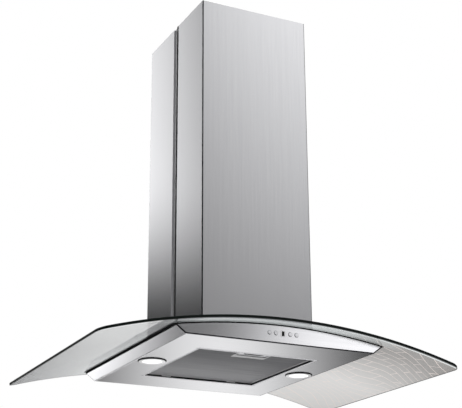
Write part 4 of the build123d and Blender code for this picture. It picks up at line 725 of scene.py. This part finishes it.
class HOOD_OT_seals(bpy.types.Operator):
    """Finish the rubber seals and pads, and lap the body's seal over the side panels"""

    bl_idname = "hood.seals"
    bl_label = "Seals"

    def execute(self, context):
        _, colours = settings()
        dark = Vector(colours.rubber)
        # Extruded rubber: a matt black with a fine bloom
        rubber = mottled(
            "rubber_extruded", dark * 1.6, dark, 2.0 * MM, 0.6, 0.8, 0.05 * MM, Specular_IOR_Level=0.08
        )
        dress(rubber, "airbox_seal", "rail_pads")
        new_piece("lapped_body_seal", self.lapped, "hood", "seal_rubber", [rubber], "body_seal")
        new_piece("lipped_seam_seals", self.lipped, "hood", "seal_rubber", [rubber], "seam_seals")
        return {"FINISHED"}

    def lapped(self, bm):
        """The body's seal, with a lap down each side panel and a lip out under the glass. The wider black
        line is partly the rubber and partly painted shade.
        """
        sizes, _ = settings()
        copy_node(bm, "body_seal")
        low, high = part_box("right_side_panel")
        seal_low, seal_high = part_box("body_seal")
        foot = Vector((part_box("bottom_panel")[1].x, 0, low.z))
        top = Vector((high.x, 0, seal_low.z))
        down = (foot - top).normalized()
        sheet = sizes.seal_lap_sheet
        out = Vector((-down.z, 0, down.x)) * sheet
        lap_end = top + down * sizes.seal_lap
        lap = (top, lap_end, lap_end + out, top + out)
        ends = []
        for x in (seal_high.x, seal_high.x + sizes.seal_lip):
            glass_z = bend_centre() + sqrt(sizes.bend_radius**2 - x**2)
            ends.append(Vector((x, 0, glass_z - sizes.clearance)))
        under = Vector((0, 0, -sheet))
        lip = (*ends, ends[1] + under, ends[0] + under)
        for section in (lap, lip):
            for side in (-1, 1):
                strip(bm, [(side * p.x, low.y, p.z) for p in section], (0, high.y - low.y, 0))
        bmesh.ops.recalc_face_normals(bm, faces=bm.faces[:])

    def lipped(self, bm):
        """The seam's seals, each with a lip that laps over the front cover's edge: a dark sheet laid where
        the seam's shadow falls, as painted shade.
        """
        sizes, _ = settings()
        copy_node(bm, "seam_seals")
        low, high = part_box("seam_seals")
        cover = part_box("flue_front_cover")[1]
        near, out = cover.x + sizes.seam_gap, cover.x + sizes.seam_lip
        lap = cover.y - sizes.seam_lap
        back = ((high.x, high.y), (out, high.y), (out, lap))
        section = (*back, (near, lap), (near, cover.y), (high.x, cover.y))
        for side in (-1, 1):
            strip(bm, [(side * x, y, low.z) for x, y in section], (0, 0, high.z - low.z))
        bmesh.ops.recalc_face_normals(bm, faces=bm.faces[:])


class HOOD_OT_filter(bpy.types.Operator):
    """Weave the filter mesh and finish the frame and latch"""

    bl_idname = "hood.filter"
    bl_label = "Grease filter"

    def execute(self, context):
        _, colours = settings()
        pale = Vector(colours.anodised)
        # Anodised aluminium channel: pale and satin
        frame_metal = mottled(
            "aluminium_anodised", pale, pale * 0.9, 6.0 * MM, 0.4, 0.48, 0.02 * MM, Metallic=1.0
        )
        dress(frame_metal, "filter_frame")
        latch = stainless_belt_brushed("stainless_strip_brushed", "X", 0.2, 0.28, 0.8)
        dress(latch, "filter_latch")
        self.spring(latch)
        mesh = [self.mesh_metal()]
        new_piece("filter_mesh_layers", self.layers, "filter", "filter_mesh", mesh, "filter_core")
        return {"FINISHED"}

    def spring(self, steel):
        """The latch's bowed leaf spring, copied and shaded smoothly on a mesh of its own. The real leaf
        flattens by as much as the latch slides.
        """

        def bow(bm):
            copy_node(bm, "latch_spring")
            shade_smooth(bm.faces[:], 25)

        leaf = new_piece("bowed_latch_spring", bow, "filter", "latch_steel", [steel], "latch_spring")
        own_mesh(leaf)

    def layers(self, bm):
        """A sheet of expanded mesh, cut out where the latch's tray is, over the pleated core."""
        sizes, _ = settings()
        pitch, strand = sizes.mesh_pitch, sizes.mesh_strand
        span = CORE_HIGH.x - CORE_LOW.x
        count = int(span / sizes.mesh_step)
        step = span / count
        rise = (pitch - strand) / 2
        bottom = CORE_LOW.z - sizes.mesh_sheet - sizes.clearance
        first = CORE_LOW.y + pitch / 2
        rows = int((CORE_HIGH.y - CORE_LOW.y - strand) / pitch)
        for flip in (0, 1):
            chain = []
            for i in range(count + 1):
                swing = rise if (i + flip) % 2 else -rise
                y = first + flip * pitch + swing - strand / 2
                chain.append(bm.verts.new((CORE_LOW.x + i * step, y, bottom)))
            edges = [bm.edges.new(pair) for pair in zip(chain, chain[1:])]
            ribbon = bmesh.ops.extrude_edge_only(bm, edges=edges)
            move_new(bm, ribbon, (0, strand, 0))
            faces = [part for part in ribbon["geom"] if isinstance(part, bmesh.types.BMFace)]
            move_new(bm, bmesh.ops.extrude_face_region(bm, geom=faces), (0, 0, sizes.mesh_sheet))
        pair = bm.verts[:] + bm.edges[:] + bm.faces[:]
        for n in range(1, rows // 2):
            move_new(bm, bmesh.ops.duplicate(bm, geom=pair), (0, 2 * n * pitch, 0))
        bmesh.ops.recalc_face_normals(bm, faces=bm.faces)
        self.clear_tray(bm)
        copy_node(bm, "filter_core")

    def clear_tray(self, bm):
        """Cut the mesh out where the latch's tray is."""
        edge = settings()[0].tray_edge
        latch_low, latch_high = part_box("filter_latch")
        left, right = latch_low.x - edge, latch_high.x + edge
        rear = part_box("latch_spring")[1].y + edge / 2
        for place, normal in ((left, (1, 0, 0)), (right, (1, 0, 0)), (rear, (0, 1, 0))):
            cut(bm, Vector(normal) * place, normal)
        inside = []
        for face in bm.faces:
            middle = face.calc_center_median()
            if left < middle.x < right and middle.y < rear:
                inside.append(face)
        bmesh.ops.delete(bm, geom=inside, context="FACES")

    def mesh_metal(self):
        """Expanded aluminium foil: satin, in faint bands across from the rollers, lighter towards the rear.
        """
        sizes, colours = settings()
        material, shader, node = new_material("aluminium_expanded", Metallic=1.0)
        place = node("TexCoord").outputs["Object"]
        back = node("SeparateXYZ", {"Vector": place}).outputs["Y"]
        scale = (1 / sizes.roll_run, 1 / sizes.roll_band, 1 / sizes.roll_band)
        lay = node("Mapping", {"Vector": place, "Scale": scale})
        bands = node("TexNoise", {"Vector": lay, "Scale": 1.0, "Detail": 1.0})
        toward_rear = node("MapRange", {"Value": back, "From Min": CORE_LOW.y * 0.6, "From Max": CORE_HIGH.y})
        share = node("Math", {0: bands, 1: 0.5, 2: toward_rear}, operation="MULTIPLY_ADD")
        dull, bright = rgba(colours.mesh), rgba(colours.mesh_pale)
        tone = node("MixRGB", {"Fac": share, "Color1": dull, "Color2": bright})
        rough = node("MapRange", {"Value": bands, "To Min": 0.5, "To Max": 0.36})
        dent = node("Bump", {"Height": bands, "Strength": 0.3, "Distance": 0.05 * MM})
        feed(shader, {"Base Color": tone, "Roughness": rough, "Normal": dent})
        return material


class HOOD_OT_lamps(bpy.types.Operator):
    """Finish the two lamps"""

    bl_idname = "hood.lamps"
    bl_label = "Lamps"

    def execute(self, context):
        _, colours = settings()
        white, silver, warm = Vector(colours.lens), Vector(colours.cup), Vector(colours.quartz)
        # Frosted glass, lit from behind: an even white
        lens = mottled(
            "glass_frosted", white, white * 0.95, 3.0 * MM, 0.4, 0.55, 0.02 * MM,
            Emission_Color=WHITE, Emission_Strength=0.4,
        )
        # Spun aluminium: bright, with patches of differing gloss
        cup = mottled(
            "aluminium_spun", silver, silver * 0.88, 4.0 * MM, 0.2, 0.35, 0.03 * MM, Metallic=1.0
        )
        # Drawn quartz: clear, slightly warm, with a trace of draw marks
        quartz = mottled(
            "quartz_drawn", warm, warm * 0.94, 4.0 * MM, 0.02, 0.1, 0.01 * MM,
            Transmission_Weight=0.8, IOR=1.46,
        )
        for side in ("lamp_left", "lamp_right"):
            dress(self.chrome(side), side + "_bezel")
            dress(lens, side + "_lens")
            dress(cup, side + "_housing")
            dress(quartz, side + "_bulb")
        return {"FINISHED"}

    def chrome(self, side):
        """Chrome plate: bright, with the slightest haze, and a flank painted black as shade."""
        sizes, colours = settings()
        material, shader, node = new_material(side + "_chrome_plate_painted_flank", Metallic=1.0)
        low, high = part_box(side + "_bezel")
        place = node("TexCoord").outputs["Object"]
        off = node("VectorMath", {0: place, 1: (low + high) / 2}, operation="SUBTRACT")
        start = (high.x - low.x) / 2 - sizes.bezel_flank
        flank = node(
            "MapRange", {"Value": from_axis(node, off), "From Min": start - SOFT, "From Max": start + SOFT}
        )
        haze = node("TexNoise", {"Vector": place, "Scale": 1 / sizes.plate_haze})
        rough = node("MapRange", {"Value": haze, "To Min": 0.05, "To Max": 0.14})
        bright, black = rgba(colours.chrome), rgba(colours.chrome_flank_painted_shade)
        tone = node("MixRGB", {"Fac": flank, "Color1": bright, "Color2": black})
        feed(shader, {"Base Color": tone, "Roughness": rough})
        return material


class HOOD_OT_controls(bpy.types.Operator):
    """Finish the buttons, display and control board"""

    bl_idname = "hood.controls"
    bl_label = "Controls"

    def execute(self, context):
        sizes, colours = settings()
        black, dark, green = (
            Vector(tone) for tone in (colours.acrylic, colours.black_plastic, colours.board)
        )
        caps = stainless_belt_brushed("stainless_brushed_caps", "X", 0.18, 0.24, 0.4, 0.1)
        dress(caps, "button_1", "button_2", "button_3", "button_4")
        # Black acrylic window, polished, with a white border laid round it: a flat, even line
        window = mottled(
            "acrylic_black_polished", black, black * 0.7, 6.0 * MM, 0.04, 0.09, 0.005 * MM, IOR=1.49
        )
        low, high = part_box("display_window")
        half = (high - low) / 2
        reaches = {
            "X": half.x - sizes.window_rim - sizes.window_border,
            "Z": half.z - sizes.window_rim - sizes.window_line,
        }
        colour_past(window, (low + high) / 2, reaches, "MAXIMUM", 0.0, SOFT, colours.window_border)
        dress(window, "display_window")
        # Moulded nylon: black, with a fine even texture
        nylon = mottled("nylon_moulded", dark * 1.3, dark, sizes.moulded_grain, 0.45, 0.6, 0.04 * MM)
        dress(nylon, "button_housing", "terminal_box", "cable_gland", "lamp_transformer")
        # Glass-fibre board under green solder mask, with the tone of its copper showing through
        board = mottled(
            "board_solder_masked", green, green * 0.55, 5.0 * MM, 0.2, 0.35, 0.05 * MM, "TexVoronoi"
        )
        dress(board, "control_board")
        return {"FINISHED"}


class HOOD_OT_blower(bpy.types.Operator):
    """Finish the blower and its outlet"""

    bl_idname = "hood.blower"
    bl_label = "Blower"

    def execute(self, context):
        sizes, colours = settings()
        grey, shell, cream = Vector(colours.grey_plastic), Vector(colours.enamel), Vector(colours.can)
        # Moulded polypropylene with a fine spark-eroded texture
        moulded = mottled(
            "polypropylene_moulded", grey, grey * 0.88, sizes.moulded_grain, 0.42, 0.58, 0.05 * MM
        )
        dress(moulded, "scroll_housing", "outlet_adapter", "outlet_collar", "impeller")
        dress(moulded, "flap_front", "flap_rear")
        # Dipped enamel on the motor's shell: dark and smooth, in soft patches of gloss
        enamel = mottled("enamel_dipped", shell, shell * 0.7, 3.0 * MM, 0.22, 0.35, 0.04 * MM)
        dress(enamel, "motor")
        # Moulded ABS: pale, with a fine even texture
        can = mottled("abs_moulded_pale", cream, cream * 0.9, sizes.moulded_grain, 0.3, 0.45, 0.03 * MM)
        dress(can, "capacitor")
        return {"FINISHED"}


class HOOD_OT_frame(bpy.types.Operator):
    """Finish the ceiling frame, airbox, rails and fasteners"""

    bl_idname = "hood.frame"
    bl_label = "Frame and fasteners"

    def execute(self, context):
        sizes, colours = settings()
        light, dark, bright = (Vector(tone) for tone in (colours.zinc, colours.zinc_dark, colours.plated))
        # Hot-dip galvanised sheet: flat grey crystals of differing tone
        zinc = mottled(
            "steel_galvanised", light, dark, sizes.spangle, 0.3, 0.48, 0.02 * MM, "TexVoronoi", Metallic=0.9
        )
        dress(zinc, "ceiling_plate", "upper_posts", "lower_posts")
        dress(zinc, "airbox", "cross_rails", "flue_brackets", "motor_bracket")
        # Bright zinc plate with a faint warm passivation
        plated = mottled(
            "steel_zinc_plated", bright, bright * 0.88, 2.5 * MM, 0.2, 0.34, 0.02 * MM, Metallic=1.0
        )
        dress(plated, "upper_frame_bolts", "upper_flue_screws", "post_foot_bolts", "glass_bolts")
        dress(plated, "damper_rod", "motor_shaft")
        return {"FINISHED"}


class HOOD_OT_stage(bpy.types.Operator):
    """Set the floor, the studio light and the camera"""

    bl_idname = "hood.stage"
    bl_label = "Stage"

    GREY = 0.75  # brightness of the studio where no card is
    SENSOR = 36.0  # width of the camera's sensor in millimetres

    # Soft boxes and dark cards round the object, as the metal sees them:
    # middle and half width in degrees clockwise from +Y, its softness, lowest and highest elevation,
    # its softness, and the brightness at the lowest and highest elevation
    CARDS = (
        (127, 40, 14, 9, 40, 4, 0.17, 2.37),
        (178, 21.5, 10, 8, 45, 6, 0.08, 0.08),
        (319, 17.7, 1.2, 6, 40, 6, 0.05, 0.05),
        (-25, 18, 5, 6, 24, 4, 0.03, 0.03),
        (-8, 15.3, 1.2, 17.5, 40, 7.5, 2.6, 1.15),
        (0, 200, 1, -90, -36, 6, 0.2, 0.2),
        (140, 16, 1.5, -9, 9, 3, 1.7, 1.7),
        (169, 16.4, 2.2, -9, 9, 3, 0.2, 0.2),
        (-13.5, 10.5, 4, -42, -24, 3, 0.03, 0.03),
        (-13.5, 10.5, 4, -26.5, -14, 3, 0.0, 7.0),
        (21.7, 26, 4, -30, 2, 4, 0.04, 0.04),
        (25.7, 4.2, 4.2, -30, 2, 4, 1.1, 1.1),
        (12, 4, 2.5, -27, -17, 3, 0.3, 1.5),
    )
    # Lamps: name, place, aim, size and power
    LAMPS = (
        ("key_softbox", (-1.6, -1.8, 0.9), (0, 0, -0.6), 1.6, 26.0),
        ("fill_softbox", (1.9, -0.6, -0.2), (0, 0, -0.7), 1.8, 16.0),
        ("low_softbox", (0.6, -1.4, -2.2), (0, 0, -0.9), 1.4, 12.0),
    )

    def execute(self, context):
        self.world(context)
        self.floor(context)
        for lamp in self.LAMPS:
            self.lamp(context, *lamp)
        self.camera(context)
        context.scene.view_settings.view_transform = "Standard"
        return {"FINISHED"}

    def world(self, context):
        """White to the eye and through glass; soft boxes and dark cards to the metal; grey light else."""
        world = bpy.data.worlds.new("studio")
        context.scene.world = world
        world.use_nodes = True
        world.cycles.sampling_method = "NONE"
        world.node_tree.nodes.clear()
        node = partial(add_node, world.node_tree)
        split = node("SeparateXYZ", {"Vector": node("TexCoord").outputs["Generated"]})
        turn = node("Math", {0: split.outputs["X"], 1: split.outputs["Y"]}, operation="ARCTAN2")
        heading = node("Math", {0: turn, 1: degrees(1)}, operation="MULTIPLY")
        tilt = node("Math", {0: split.outputs["Z"]}, operation="ARCSINE")
        rise = node("Math", {0: tilt, 1: degrees(1)}, operation="MULTIPLY")
        level = self.GREY
        for middle, half, soft, lowest, highest, blur, dim, bright in self.CARDS:
            off = node("Math", {0: heading, 1: middle}, operation="SUBTRACT")
            wrapped = node("Math", {0: off, 1: 180.0, 2: -180.0}, operation="WRAP")
            away = node("Math", {0: wrapped}, operation="ABSOLUTE")
            fades = (
                (rise, lowest - blur / 2, lowest + blur / 2),
                (rise, highest + blur / 2, highest - blur / 2),
                (away, half + soft, half - soft),
            )
            mask = 1.0
            for value, outer, inner in fades:
                edge = {"Value": value, "From Min": outer, "From Max": inner}
                fade = node("MapRange", edge, interpolation_type="SMOOTHSTEP")
                mask = node("Math", {0: mask, 1: fade}, operation="MULTIPLY")
            span = {"From Min": lowest, "From Max": highest, "To Min": dim, "To Max": bright}
            shade = node("MapRange", {"Value": rise, **span})
            level = node("Mix", {0: mask, 2: level, 3: shade}, data_type="FLOAT")
        path = node("LightPath")
        glossy, eye = path.outputs["Is Glossy Ray"], path.outputs["Is Camera Ray"]
        metal = node("Mix", {0: glossy, 2: self.GREY, 3: level}, data_type="FLOAT")
        seen = node("Math", {0: eye, 1: path.outputs["Is Transmission Ray"]}, operation="MAXIMUM")
        light = node("Mix", {0: seen, 2: metal, 3: 1.0}, data_type="FLOAT")
        node("OutputWorld", {"Surface": node("Background", {"Color": WHITE, "Strength": light})})

    def floor(self, context):
        """A floor of matt paper, pale and even, that fades into the white background at its rim."""
        studio = context.scene.studio_settings
        bm = bmesh.new()
        bmesh.ops.create_circle(bm, cap_ends=True, segments=96, radius=studio.floor_size)
        bmesh.ops.translate(bm, verts=bm.verts, vec=(0, 0, -studio.floor_drop))
        mesh = bpy.data.meshes.new("studio_floor")
        bm.to_mesh(mesh)
        bm.free()
        floor = bpy.data.objects.new("studio_floor", mesh)
        context.scene.collection.objects.link(floor)
        paper = rgba(context.scene.hood_colours.paper)
        material, shader, node = new_material("paper_matt", Roughness=0.9, Base_Color=paper)
        start, end = studio.floor_size * 0.35, studio.floor_size * 0.95
        reach = from_axis(node, node("TexCoord").outputs["Object"])
        rim = node(
            "MapRange",
            {"Value": reach, "From Min": start, "From Max": end},
            interpolation_type="SMOOTHSTEP",
        )
        glow = node("Emission", {"Color": WHITE, "Strength": 1.0})
        surface = node("MixShader", {0: rim, 1: shader, 2: glow})
        feed(material.node_tree.nodes["Material Output"], {"Surface": surface})
        mesh.materials.append(material)
        floor.visible_glossy = False

    def lamp(self, context, name, place, aim, size, power):
        """A square soft box that lights the object and stays out of its reflections."""
        light = bpy.data.lights.new(name, "AREA")
        light.size = size
        light.energy = power
        lamp = bpy.data.objects.new(name, light)
        lamp.location = place
        lamp.rotation_euler = (Vector(aim) - Vector(place)).to_track_quat("-Z", "Y").to_euler()
        lamp.visible_camera = False
        lamp.visible_glossy = False
        lamp.visible_transmission = False
        context.scene.collection.objects.link(lamp)

    def camera(self, context):
        """The photograph's viewpoint."""
        studio = context.scene.studio_settings
        data = bpy.data.cameras.new("photo_camera")
        data.sensor_fit = "HORIZONTAL"
        data.sensor_width = self.SENSOR
        data.lens = studio.lens
        camera = bpy.data.objects.new("photo_camera", data)
        turn, tilt, roll = studio.camera_heading, studio.camera_pitch, studio.camera_roll
        ahead = Vector((sin(turn) * cos(tilt), cos(turn) * cos(tilt), sin(tilt)))
        right = Vector((cos(turn), -sin(turn), 0))
        up = right.cross(ahead)
        rolled_right = right * cos(roll) - up * sin(roll)
        rolled_up = up * cos(roll) + right * sin(roll)
        axes = Matrix((rolled_right, rolled_up, -ahead)).transposed()
        camera.matrix_world = Matrix.Translation(studio.camera_place) @ axes.to_4x4()
        context.scene.collection.objects.link(camera)
        context.scene.camera = camera


STEPS = (
    HOOD_OT_flue,
    HOOD_OT_body,
    HOOD_OT_seals,
    HOOD_OT_glass,
    HOOD_OT_filter,
    HOOD_OT_lamps,
    HOOD_OT_controls,
    HOOD_OT_blower,
    HOOD_OT_frame,
    HOOD_OT_stage,
)


class HOOD_PT_panel(bpy.types.Panel):
    """Lists the steps that dress the hood"""

    bl_idname = "HOOD_PT_panel"
    bl_label = "Range hood"
    bl_space_type = "VIEW_3D"
    bl_region_type = "UI"
    bl_category = "Range hood"

    def draw(self, context):
        for step in STEPS:
            self.layout.operator(step.bl_idname)


CLASSES = (HoodSizes, HoodColours, StudioSettings, *STEPS, HOOD_PT_panel)


def register():
    for cls in CLASSES:
        bpy.utils.register_class(cls)
    bpy.types.Scene.hood_sizes = PointerProperty(type=HoodSizes)
    bpy.types.Scene.hood_colours = PointerProperty(type=HoodColours)
    bpy.types.Scene.studio_settings = PointerProperty(type=StudioSettings)


def unregister():
    del bpy.types.Scene.studio_settings
    del bpy.types.Scene.hood_colours
    del bpy.types.Scene.hood_sizes
    for cls in reversed(CLASSES):
        bpy.utils.unregister_class(cls)


def main():
    register()
    for step in STEPS:
        group, name = step.bl_idname.split(".")
        getattr(getattr(bpy.ops, group), name)()
    bpy.context.view_layer.update()


if __name__ == "__main__":
    main()
